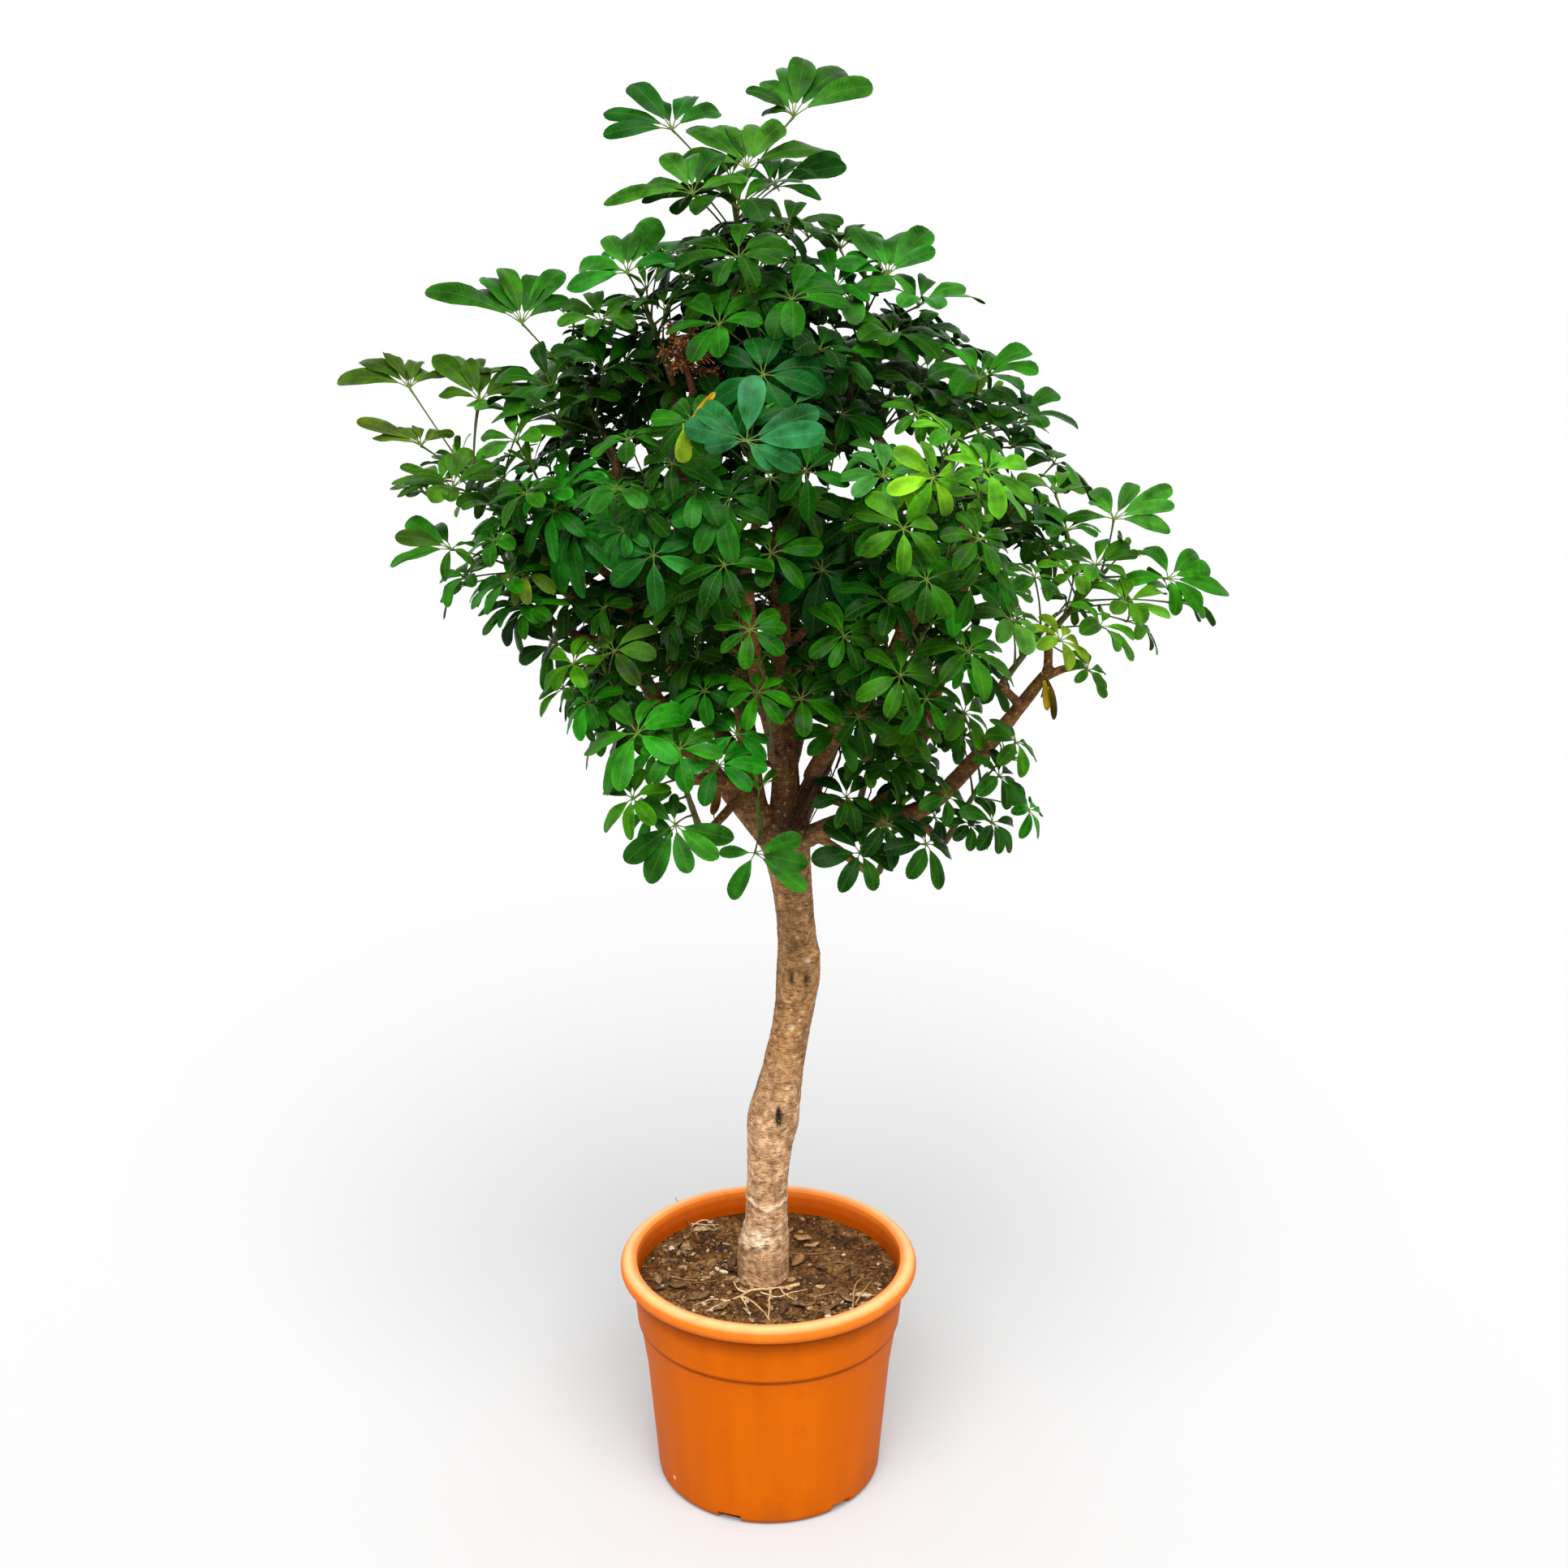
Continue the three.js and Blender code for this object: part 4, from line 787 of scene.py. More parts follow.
rough_wood = Shape()
trunk_line = [np.array([TRUNK_FOOT["x"], 0, z, TRUNK_FOOT["radius"]])
              for z in TRUNK_FOOT["heights"]]
trunk_line += [np.array([x, 0, z, thickness / 2]) for z, x, thickness in TRUNK]
swept(trunk_line, TRUNK_RINGS, TRUNK_SIDES, rough_wood)
for name in LIMBS:
    swept(limb_stations(name), LIMB_RINGS, LIMB_SIDES, rough_wood)
for name, (foot, _, heading) in stems.items():
    path, radii = twig_path(LIMB_OF[name], foot, heading)
    rough_wood.add(*tube(path, radii, TWIG_SIDES))
path, radii = twig_path("left", flower_stem[0], flower_stem[2])
rough_wood.add(*tube(path, radii, TWIG_SIDES))
rough_wood.add(*tube(SNAG, (6, 4.2, 3.4), STUB_SIDES))
rough_wood.add(*tube([seen_at(*place) for place in STUB], (6, 4.6, 4.2), STUB_SIDES))
for centre, size in SWELLINGS:
    path = [Vector(centre) + Vector((0, 0, size * up)) for up, _ in SWELLING_FORM]
    rough_wood.add(*tube(path, [size * share for _, share in SWELLING_FORM], LIMB_SIDES))


def one_skin(shape):
    """Welds overlapping closed forms into one skin and eases it, and gives its mesh in metres."""
    mesh = bpy.data.meshes.new("wood_forms")
    mesh.from_pydata([Vector(p) / 1000 for p in shape.points], [], shape.faces)
    form = bpy.data.objects.new("wood_forms", mesh)
    scene.collection.objects.link(form)
    remesh = form.modifiers.new("weld", "REMESH")
    remesh.mode = "VOXEL"
    remesh.voxel_size = WOOD_VOXEL / 1000
    ease = form.modifiers.new("ease", "SMOOTH")
    ease.factor = WOOD_EASE
    ease.iterations = EASE_ROUNDS
    welded_form = form.evaluated_get(bpy.context.evaluated_depsgraph_get())
    skin = bpy.data.meshes.new_from_object(welded_form)
    bpy.data.objects.remove(form)
    return skin


BARK_TONES = {"base": "#c4a482", "trunk": "#b08a5e", "limb": "#785424", "twig": "#584820"}
# Pale bark, the dark of cracks, and the painted shade in the fork.
CREAM, CRACK, FORK_SHADE = "#f0e4d0", "#24140a", "#2e1a0c"
# Marks on the front of the trunk: x, height, half width, half height.
SLIT = (14, 534, 3.7, 14)
SCARS = [(30.5, 727, 3.4, 11), (50, 725, 3.6, 12)]
PALE_PORES = [(29.5, 659, 4.2, 4.2), (41, 669, 2.4, 2.4), (27, 574, 3.4, 3.4), (52, 752, 3.5, 4.5)]
PEELED = (-19, 354, 21, 9)
# Heights of the ledge, ring and wrinkle at the trunk's foot, and of the painted shade in the fork.
LEDGE, RING, WRINKLE, FORK = 346, 368, 397, 935
# Sizes of the mottling, flakes and fine rings in the bark, and the spacing of its pores.
MOTTLE, FLAKE, FINE_RING, PORE_STEP = 11, 5.5, 9, 11


def blend(a, b, share):
    """A colour between two, where a share past either end counts as that end."""
    share = min(max(share, 0), 1)
    return tuple(p + (q - p) * share for p, q in zip(a, b))


def mark(spot, x, z):
    """How far out in a mark a point is: 0 in its middle, 1 at its edge and more outside it."""
    centre_x, centre_z, half_width, half_height = spot
    return ((x - centre_x) / half_width) ** 2 + ((z - centre_z) / half_height) ** 2


def crease(height, width):
    """How deep in a crease a point is: 1 in its middle, and less the further above or below."""
    return math.exp(-(height / width) ** 2)


def bark_at(p):
    """How far the bark stands out at a point, and its colour there."""
    x, y, z = p
    # Knots and ripples, finer on the limbs than on the trunk.
    size = 1.0 if z < 905 else 0.45
    push = 0.55 + size * (0.9 * noise.noise((x / 16, y / 16, z / 24))
                          + 0.5 * noise.noise((x / 6, y / 6, z / 5))
                          + 0.5 * noise.noise((x / 30, y / 30, z / 2.2)))
    # The bark browns from the foot to the trunk, the limbs and the twigs.
    tone = blend(linear(BARK_TONES["base"]), linear(BARK_TONES["trunk"]), (z - 500) / 130)
    tone = blend(tone, linear(BARK_TONES["limb"]), (z - 890) / 70)
    tone = blend(tone, linear(BARK_TONES["twig"]), (z - 1250) / 150)
    patch = noise.noise((x / 20, y / 20, z / 34)) + 0.6 * noise.noise((x / 8, y / 8, z / 7))
    # Patches, a dark flank under the fork and a pale stretch over the wrinkle.
    shade = 1 + 0.34 * patch - 0.32 * crease(x - 34, 11) * crease(z - 775, 65)
    shade += 0.16 * crease(z - 465, 48)
    # The ledge of thick old bark at the foot, with a ring and a wrinkle over it.
    drift = 5 * noise.noise((x / 10, y / 10, 4))
    ledge = LEDGE + 0.22 * (x + 10) + drift
    push += 1.3 - 1.3 * math.tanh((z - ledge) * 0.6)
    # Painted shadow under the ledge, deeper on the left.
    shade -= 0.45 * crease(z - ledge + 4, 3) * (1 if x < 0 else 0.3)
    ring = crease(z - RING - 0.12 * x - drift, 2.5)
    wrinkle = crease(z - WRINKLE - 0.38 * abs(x + 1) + drift / 2, 2.6)
    push += 1.3 * wrinkle + 0.7 * ring
    tone = blend(tone, linear(CREAM), 0.55 * wrinkle + 0.35 * ring)
    # Painted shadow just under the wrinkle.
    shade -= 0.35 * crease(z - WRINKLE + 6 - 0.38 * abs(x + 1) + drift / 2, 2)
    # The marks on the front: the peeled patch, the slit, the scars and the pale pores.
    if y < 0:
        peeled = math.exp(-mark(PEELED, x, z)) * (1 + 0.8 * noise.noise((x / 4, y / 4, z / 6)))
        tone = blend(tone, linear(CREAM), peeled * 1.5)
        slit = mark(SLIT, x, z)
        push += 1.3 * crease(slit - 3, 1.8) - 5 * math.exp(-slit ** 1.5)
        tone = blend(tone, linear(CRACK), 1.7 * math.exp(-slit ** 2))
        for scar in SCARS:
            push -= 1.8 * math.exp(-mark(scar, x, z))
            tone = blend(tone, linear(CRACK), 0.95 * math.exp(-mark(scar, x, z)))
        for pore in PALE_PORES:
            push += 0.5 * math.exp(-mark(pore, x, z))
            tone = blend(tone, linear(CREAM), 0.9 * math.exp(-mark(pore, x, z) ** 2))
    # Painted shade in the crotch of the fork.
    if 885 < z < 1010 and abs(x - 30) < 40:
        tone = blend(tone, linear(FORK_SHADE), 0.8 * crease(z - FORK, 38) * crease(x - 27, 26))
    return push, tuple(c * shade for c in tone[:3]) + (1,)


# Living bark: thin and smooth, mottled in patches, ringed with fine cracks and dotted with pale
# breathing pores about 11 mm apart. It is grey-tan at the foot and browner up the limbs.
tree_bark, tree, shader = new_surface("living_bark", Roughness=0.82, Specular_IOR_Level=0.3)
tone = add_node(tree, "Attribute", {"attribute_name": "tone"}).outputs["Color"]
coords = add_node(tree, "TexCoord").outputs["Object"]
mottle = add_node(tree, "TexNoise", inputs={
    "Vector": coords, "Scale": 1000 / MOTTLE, "Detail": 8, "Roughness": 0.65})
mottle_tone = add_node(tree, "ValToRGB", inputs={0: mottle.outputs[0]}, stops=[
    (0.3, "#84705c"), (0.5, "#d6c6b2"), (0.7, "#ffffff")]).outputs[0]
mottled = add_node(tree, "Mix", TINT, {0: 1.0, 6: tone, 7: mottle_tone}).outputs[2]
flakes = add_node(tree, "TexNoise", inputs={"Vector": coords, "Scale": 1000 / FLAKE, "Detail": 4})
flake_share = add_node(tree, "MapRange", inputs={0: flakes.outputs[0], 1: 0.58, 2: 0.7, 4: 0.5})
mottled = add_node(tree, "Mix", {"data_type": "RGBA", "blend_type": "SCREEN"}, {
    0: flake_share.outputs[0], 6: mottled, 7: linear("#a4845a")}).outputs[2]
squashed = add_node(tree, "Mapping", inputs={0: coords, 3: (1, 1, 5)}).outputs[0]
rings = add_node(tree, "TexNoise", inputs={
    "Vector": squashed, "Scale": 1000 / FINE_RING, "Detail": 6, "Distortion": 0.4})
ring_share = add_node(tree, "MapRange", inputs={
    0: rings.outputs[0], 1: 0.48, 2: 0.36, 4: 0.75}).outputs[0]
ringed = add_node(tree, "Mix", TINT, {
    0: ring_share, 6: mottled, 7: linear("#8a6a48")}).outputs[2]
pores = add_node(tree, "TexVoronoi", inputs={"Vector": coords, "Scale": 1000 / PORE_STEP})
pore_share = add_node(tree, "MapRange", inputs={
    0: pores.outputs["Distance"], 1: 0.14, 2: 0.08, 4: 0.22}).outputs[0]
dotted = add_node(tree, "Mix", OVER, {
    0: pore_share, 6: ringed, 7: linear("#cdb083")}).outputs[2]
tree.links.new(dotted, shader.inputs["Base Color"])
cracks = add_node(tree, "Bump", inputs={"Strength": 0.6, "Distance": 0.0012,
                                        "Height": rings.outputs[0]}).outputs[0]
bark_bump = add_node(tree, "Bump", inputs={"Strength": 0.5, "Distance": 0.0015, "Normal": cracks,
                                           "Height": mottle.outputs[0]}).outputs[0]
tree.links.new(bark_bump, shader.inputs["Normal"])

wood = one_skin(rough_wood)
wood.materials.clear()
wood.materials.append(tree_bark)
places = np.zeros(len(wood.vertices) * 3, np.float32)
normals = np.zeros(len(wood.vertices) * 3, np.float32)
wood.vertices.foreach_get("co", places)
wood.vertices.foreach_get("normal", normals)
places, normals = places.reshape(-1, 3), normals.reshape(-1, 3)
barked = [bark_at(p) for p in (places * 1000).tolist()]
pushes = np.array([push for push, _ in barked], np.float32)[:, None]
wood.vertices.foreach_set("co", (places + normals * pushes / 1000).ravel())
tones = wood.color_attributes.new("tone", "FLOAT_COLOR", "POINT")
tones.data.foreach_set("color", np.array([t for _, t in barked], np.float32).ravel())
wood.shade_smooth()
place_piece("trunk_limbs_and_twigs", wood, ["trunk_and_limbs"])

# ---- Aerial roots ------------------------------------------------------------------------
# Thin brown roots that sprout from the undersides of the lower limbs. Some hang free and some
# have grown down onto the fork.
FORK_ROOTS, ROOT_TAPER = 22, 0.5
ROOT_TONES = ["#4a2a18", "#5b3820", "#38200f"]
# Roots that hang alone from a limb: seen x, seen height, depth, length.
LONE_ROOTS = [
    (128, 985, -30, 45), (150, 990, -30, 30), (170, 978, -28, 52),
    (-65, 968, -82, 36), (-20, 1040, -30, 40), (-150, 1120, -12, 30),
]
root_dice = random.Random(8)
aerial = Shape()
right_limb = smooth_path(limb_stations("right"), 10)
for i in range(FORK_ROOTS):
    start = Vector(right_limb[root_dice.randrange(6, 19)][:3])
    start += Vector((root_dice.uniform(-9, 9), root_dice.uniform(-13, -4), -4))
    if i % 2:
        drop = root_dice.uniform(25, 75)
        end = start + Vector((root_dice.uniform(-10, 12), root_dice.uniform(-8, 6), -drop))
    else:
        end = Vector((root_dice.uniform(8, 40), -24, root_dice.uniform(895, 930)))
    middle = (start + end) / 2 + Vector((root_dice.uniform(-7, 7), -6, 0))
    path = [Vector(p) for p in smooth_path([np.array(p) for p in (start, middle, end)], 6)]
    path = [p + 2.2 * Vector((noise.noise(p / 11), noise.noise(p / 9 + Vector((3, 1, 7))), 0))
            for p in path]
    radius = root_dice.uniform(0.7, 1.5)
    radii = [radius * (1 - ROOT_TAPER * k / (len(path) - 1)) for k in range(len(path))]
    aerial.add(*tube(path, radii, 6), tone_of(root_dice.choice(ROOT_TONES)))
for x, z, depth, drop in LONE_ROOTS:
    start = seen_at(x, z, depth)
    path = [start + Vector((3 * math.sin(k), 2 * math.cos(2 * k), -drop * k / 6)) for k in range(7)]
    aerial.add(*tube(path, np.linspace(1.3, 0.6, 7), 6), tone_of(ROOT_TONES[0]))
aerial.finish("aerial_roots", [weathered_bits])

# ---- Leafy shoots ------------------------------------------------------------------------
# Each shoot is a green stem end with its leaves: a long stalk to a hub, from which mostly seven
# or eight leaflets spread on short pale stalklets. Upper sides are waxy, undersides duller.

# The blade's outline: shares of its length, its half width there as a share, and points across.
LEAF_ROWS = [0, 0.06, 0.16, 0.3, 0.46, 0.62, 0.76, 0.87, 0.95, 1]
LEAF_WIDTHS = [0.10, 0.22, 0.46, 0.73, 0.92, 1.0, 0.97, 0.82, 0.55, 0.16]
LEAF_COLUMNS = [-1, -0.5, 0, 0.5, 1]
LEAF_THICKNESS = 0.6
# How much of a leaflet is stalklet, and the long stalk's points, radii and sag.
STALKLET_SHARE = 0.17
STALK_SHARES = (0, 0.15, 0.35, 0.55, 0.75, 0.92)
STALK_RADII, STALK_SAG = (2.1, 1.45, 1.15, 1.05, 1.05, 1.3, 1.9), 0.035
# How broad a leaflet is against its leaf's reach, and at most against its own length.
SLIMNESS, BROADEST = 0.49, 0.21
# In the solids: where a leaflet is widest, how much shorter the leaflets next to the stalk are, how
# far the stalk's end lies from the hub, and the leaflets here for each number there.
WIDEST, SHORTEN = 0.62, 0.1
HUB_DEPTH = 3.8
LEAFLETS = {4: 7, 5: 8, 7: 8}
# Smaller leaves stand between two that are further apart than this, at this share of their size.
BETWEEN_GAP = math.radians(38)
BETWEEN_SIZE = (0.66, 0.9)
# How far leaves nod to the viewer and turn at random, in radians, and how far out inside reaches.
NOD, SWAY, INNER_SWAY, INSIDE = 0.24, 0.08, 0.5, 0.55
# The share of a leaf's reach that hides what is behind it.
COVER = 0.55
# Shoots whose long stalks show between their leaves.
SPARSE = {"crown_top", "left_far", "left_high", "right_far", "fork_front", "low_centre",
          "low_left", "low_right", "low_right_outer"}
STALK_FOOT_TONE, STALK_TONE = tone_of("#465020"), tone_of("#5c742a")
STALKLET_TONE = tone_of("#7c9038")
YOUNG_TONES = (tone_of("#3f7c14"), tone_of("#548c1c"))
UNDERSIDE_TONE = tone_of("#3c6014")
STEM_TONES = (tone_of("#5a482a"), tone_of("#4a6020"))
GREEN_BUD, BROWN_BUD = tone_of("#557018"), tone_of("#7c4a22")

# Leaves that stand out: seen x, seen height, how far round it that holds, colour, and the colour
# that some of its leaflets turn towards.
# Besides their own greens, these colours hold painted light and shade: darker where a leaf hangs in
# shade, paler where it catches the light.
SEEN_TONES = [
    (-24, 1409, 40, "#2c6c48", "#1e5c30"), (220, 1412, 34, "#58901a", "#2a7010"),
    (200, 1365, 36, "#6ca01c", "#3c8014"), (266, 1373, 34, "#5c9a1c", "#3a7a18"),
    (141, 1366, 34, "#357030", "#285c1c"), (422, 1315, 52, "#2f6a1c", "#2a5c16"),
    (300, 1190, 44, "#3a6c24", "#4c7a2c"), (362, 1166, 30, "#466c14", "#647a18"),
    (-180, 1350, 34, "#28601c", "#1c5412"), (-248, 1350, 34, "#1f7a18", "#175c10"),
    (-232, 1305, 40, "#1a6c14", "#125010"), (-290, 1545, 40, "#264e0a", "#1a560a"),
    (-429, 1478, 34, "#2e480a", "#365010"), (-419, 1408, 34, "#36440a", "#384e0c"),
    (-348, 1452, 34, "#305408", "#3c600c"), (-386, 1283, 40, "#185a0a", "#3c5010"),
    (-395, 1357, 30, "#24500a", "#34580c"), (10, 1701, 18, "#144e0c", "#20560e"),
    (32, 1779, 30, "#1a4c0a", "#28580e"), (-108, 1764, 30, "#0e480a", "#1c540e"),
    (-22, 1722, 26, "#2a540c", "#205008"), (-85, 1693, 28, "#1c4e0c", "#2a5810"),
    (-304, 1272, 30, "#4a6c16", "#607018"), (-190, 1140, 30, "#335e18", "#43601a"),
    (-162, 1045, 60, "#1f7014", "#2c6814"), (-117, 926, 60, "#1f5c12", "#2c6818"),
    (-110, 1025, 50, "#247418", "#1a6010"), (-62, 1003, 50, "#1a6c14", "#145a10"),
    (-16, 888, 50, "#246a14", "#34781c"), (68, 1252, 50, "#0a3c14", "#0c4410"),
    (42, 1330, 34, "#2c5010", "#1a4410"), (-138, 1271, 50, "#175c1c", "#1f6420"),
    (-4, 1487, 60, "#0d4a1c", "#0a3c10"), (-163, 1605, 60, "#1a5c14", "#2a6412"),
    (142, 1602, 60, "#1a5812", "#2c6414"), (-53, 1327, 40, "#134c10", "#1f5414"),
    (89, 1044, 34, "#286412", "#1c5010"), (145, 925, 80, "#0e3606", "#1a4409"),
    (235, 960, 66, "#14400a", "#20500e"), (-104, 1405, 24, "#5c7c20", "#48681a"),
]
# Leaves whose leaflets can be told apart: seen x and height of the hub, how far the leaf turns to
# the viewer, how much narrower a leaflet looks that points sideways, and each leaflet's bearing in
# degrees from the viewer's right with its seen length. A leaflet seen nearly end on is drawn at
# most FAN_STRETCH times as long as it is seen.
FANS = {
    (-24, 1409): (1.5, 0, [(82, 67), (141, 64), (167, 68), (190, 44),
                           (-49, 38), (-26, 62), (3, 82), (26, 82)]),
    (-16, 888): (1.5, 0, [(178, 44), (243, 64), (20, 60), (-15, 65), (-37, 77)]),
    (-117, 926): (1.5, 0, [(215, 72), (246, 76), (282, 60), (318, 64),
                           (342, 67), (138, 48), (95, 38)]),
    (-138, 1271): (1.5, 0, [(-89, 60), (212, 57), (-22, 50), (170, 43),
                            (25, 44), (113, 51), (83, 47)]),
    (-386, 1283): (1, 0.3, [(192, 76), (170, 66), (150, 62), (118, 46),
                            (14, 31), (-31, 30), (248, 30)]),
    (492, 1242): (1, 0.15, [(-12, 80), (-38, 58), (13, 58), (49, 50),
                            (114, 53), (184, 58), (-69, 40)]),
    (32, 1779): (1.2, 0.5, [(164, 38), (152, 60), (130, 53), (98, 66),
                            (77, 68), (51, 94), (24, 104)]),
    (-108, 1764): (1.2, 0.4, [(183, 79), (161, 83), (135, 69), (111, 48), (64, 54), (26, 64)]),
    (-22, 1722): (1.2, 0.35, [(162, 81), (141, 88), (121, 70), (102, 61),
                              (77, 59), (52, 62), (21, 96)]),
    (-85, 1693): (1.2, 0.55, [(176, 100), (156, 63), (125, 55), (95, 51), (59, 57), (24, 68)]),
    (10, 1701): (1.2, 0.45, [(26, 92), (13, 87), (-9, 56), (55, 44), (100, 40), (155, 50)]),
    (-289, 1546): (1.2, 0.55, [(159, 122), (140, 80), (122, 70), (105, 62),
                               (69, 59), (49, 77), (27, 65)]),
    (-342, 1456): (1.2, 0.4, [(167, 50), (133, 75), (110, 47), (85, 51), (40, 60), (23, 58)]),
    (-426, 1472): (1.2, 0.55, [(163, 89), (146, 69), (125, 45), (100, 36),
                               (75, 40), (43, 41), (20, 48)]),
    (-415, 1403): (1.2, 0.6, [(170, 58), (160, 80), (143, 40), (126, 31),
                              (95, 30), (47, 44), (25, 43)]),
    (-395, 1357): (1.2, 0.55, [(171, 58), (155, 51), (188, 53), (120, 34), (72, 31), (38, 40)]),
    (422, 1314): (1.2, 0.35, [(174, 59), (138, 40), (117, 52), (58, 50),
                              (29, 82), (13, 74), (-8, 70)]),
    (141, 1602): (1.2, 0.3, [(170, 60), (128, 70), (101, 56), (75, 62),
                             (48, 72), (25, 60), (215, 45), (-30, 40)]),
    (-163, 1605): (1.2, 0.3, [(194, 71), (169, 44), (159, 60), (116, 50),
                              (83, 50), (61, 76), (23, 56)]),
}
# A leaf takes a fan when it hangs in front of this depth and is seen this near to the fan's place.
# Its leaflets then rise and droop by the arch.
FAN_DEPTH, FAN_REACH, FAN_ARCH, FAN_STRETCH = 90, 12, (0.38, 0.4), 1.4
# Painted shade: leaves are darkest, at this share of their tone, up to the first of two shares of
# the way out from the crown's middle, and keep their full tone beyond the second.
CROWN_MIDDLE, CROWN_REACH = Vector((20, 0, 1330)), Vector((430, 330, 430))
DEEP_SHADE, DEEP_FROM, DEEP_TO = 0.34, 0.25, 0.82
INNER_SHADES = ["#043604", "#064404", "#0a3a04", "#164404"]
OUTER_SHADES = ["#246808", "#30640a", "#1e6e08", "#40740c", "#2a5c06"]
# Where wood, flower or the room behind shows between the leaves: seen x, seen height, radius,
# and the depth in front of which no leaf may hang.
OPEN_SPOTS = [(-5, 950, 85, 60), (20, 1040, 62, 60), (-100, 1515, 48, -40), (318, 1090, 62, 60),
              (0, 1175, 36, -20), (-2, 1290, 34, -20), (-75, 950, 40, 60), (60, 930, 50, 60),
              (-84, 1448, 34, -262), (-102, 1406, 30, -262)]


def leaves_of(points, fellows):
    """Reads each leaf's place and form from a shoot's solid, where its hub is the one point with
    a ring of near notch corners and a ring of far leaflet corners, two for each leaflet."""
    found = []
    for centre, ring in enumerate(fellows):
        count = len(ring) // 3
        if count not in LEAFLETS or len(ring) % 3:
            continue
        hub = points[centre]
        outward = sorted(ring, key=lambda i: (points[i] - hub).length)
        far = set(outward[count:])
        outline = np.array([points[i] - hub for i in far])
        normal = Vector(np.linalg.svd(outline - outline.mean(0))[2][2]).normalized()
        beyond = {i for f in far for i in fellows[f]} - ring - {centre}
        tips = [points[i] - hub for i in beyond if len(fellows[i] & far) == 2]
        roots = []
        for i, point in enumerate(points):
            if i != centre and i not in ring and (point - hub).length < HUB_DEPTH:
                stalk = fellows[i] - ring - beyond
                if stalk:
                    roots.append(max((points[j] - point for j in stalk), key=lambda v: v.length))
        if len(tips) < count or not roots:
            continue
        root = sum(roots, Vector()) / len(roots)
        if root.dot(normal) > 0:
            normal = -normal
        level = sorted(t.dot(normal) for t in tips)[len(tips) // 2]
        tips = [t for t in tips if abs(t.dot(normal) - level) < 0.2]
        if len(tips) != count:
            continue
        spread = [t - normal * t.dot(normal) for t in tips]
        reach = sum(v.length for v in spread) / count / (1 - SHORTEN)
        toward = sum((v * v.length for v in spread), Vector()).normalized()
        low, high = Vector(outline.mean(0)).dot(normal) / reach, level / reach
        droop = (WIDEST * high - low) / (WIDEST ** 2 - WIDEST)
        found.append({"hub": hub, "root": hub + root, "normal": normal, "toward": toward,
                      "reach": reach, "rise": high + droop, "droop": droop,
                      "count": LEAFLETS[count]})
    return found


def leaves_between(leaves, foot, heading, dice):
    """Smaller leaves in the gaps of a whorl: each leaves the stem lower down than the two that
    it stands between, on a shorter stalk, and faces as they do."""
    ahead = heading.orthogonal().normalized()
    aside = heading.cross(ahead)

    def bearing(leaf):
        out = leaf["hub"] - leaf["root"]
        return math.atan2(out.dot(aside), out.dot(ahead))

    whorl = sorted(leaves, key=bearing)
    grown = []
    for first, second in zip(whorl, whorl[1:] + whorl[:1]):
        gap = (bearing(second) - bearing(first)) % (2 * math.pi) or 2 * math.pi
        parts = max(2, round(gap / BETWEEN_GAP))
        for k in range(1, parts):
            share = k / parts
            turn = bearing(first) + gap * share + dice.uniform(-0.2, 0.2)
            out = ahead * math.cos(turn) + aside * math.sin(turn)
            stalk = first["hub"].lerp(second["hub"], share)
            stalk -= first["root"].lerp(second["root"], share)
            span = (first["hub"] - first["root"]).length * (1 - share)
            span += (second["hub"] - second["root"]).length * share
            span *= dice.uniform(0.55, 0.95)
            climb = math.asin(max(-1, min(1, stalk.normalized().dot(heading)))) * 0.8
            climb = max(-0.5, min(1.0, climb + dice.uniform(-0.5, 0.1)))
            root = foot + heading * STEM_LENGTH * dice.uniform(0.35, 0.85)
            hub = root + (out * math.cos(climb) + heading * math.sin(climb)) * span
            normal = first["normal"].lerp(second["normal"], share) + out * dice.uniform(0.0, 0.6)
            normal = (normal + Vector((0, -0.25, 0.35)) * dice.uniform(0, 1)).normalized()
            toward = (out - normal * out.dot(normal)).normalized()
            size = (first["reach"] + second["reach"]) / 2 * dice.uniform(*BETWEEN_SIZE)
            grown.append({"hub": hub, "root": root, "normal": normal, "toward": toward,
                          "reach": size, "rise": (first["rise"] + second["rise"]) / 2,
                          "droop": dice.uniform(0.5, 0.7), "count": dice.choice((6, 7, 8))})
    return grown


def hides_an_open_spot(leaf):
    """Whether a leaf would hang in front of something that shows between the leaves."""
    x, z = seen_place(leaf["hub"])
    cover = leaf["reach"] * COVER
    return any(
        leaf["hub"].y < depth and math.hypot(x - spot_x, z - spot_z) < radius + cover
        for spot_x, spot_z, radius, depth in OPEN_SPOTS)


def leaf_tones(name, hub, dice):
    """The two greens of a leaf: as seen where it stands out, and else lighter and yellower
    towards the edge of the crown, where leaves are young and painted light falls on them, and
    darkest deep inside, where the crown's shade is painted into them."""
    x, z = seen_place(hub)
    if not name.startswith("back"):
        for seen_x, seen_z, reach, colour, turned_to in SEEN_TONES:
            if math.hypot(x - seen_x, z - seen_z) < reach:
                return tone_of(colour, dice.uniform(0.9, 1.1)), tone_of(turned_to)
    off = Vector(((x - CROWN_MIDDLE.x) / CROWN_REACH.x, hub.y / CROWN_REACH.y,
                  (z - CROWN_MIDDLE.z) / CROWN_REACH.z))
    light = min(max((off.length - DEEP_FROM) / (DEEP_TO - DEEP_FROM), 0), 1)
    light = DEEP_SHADE + (1 - DEEP_SHADE) * light
    inner = tone_of(dice.choice(INNER_SHADES), light)
    outer = tone_of(dice.choice(OUTER_SHADES), light)
    share = math.hypot(off.x, off.z) ** 1.7 + dice.uniform(-0.25, 0.25)
    return blend(inner, outer, share), blend(inner, outer, share + dice.uniform(-0.3, 0.45))


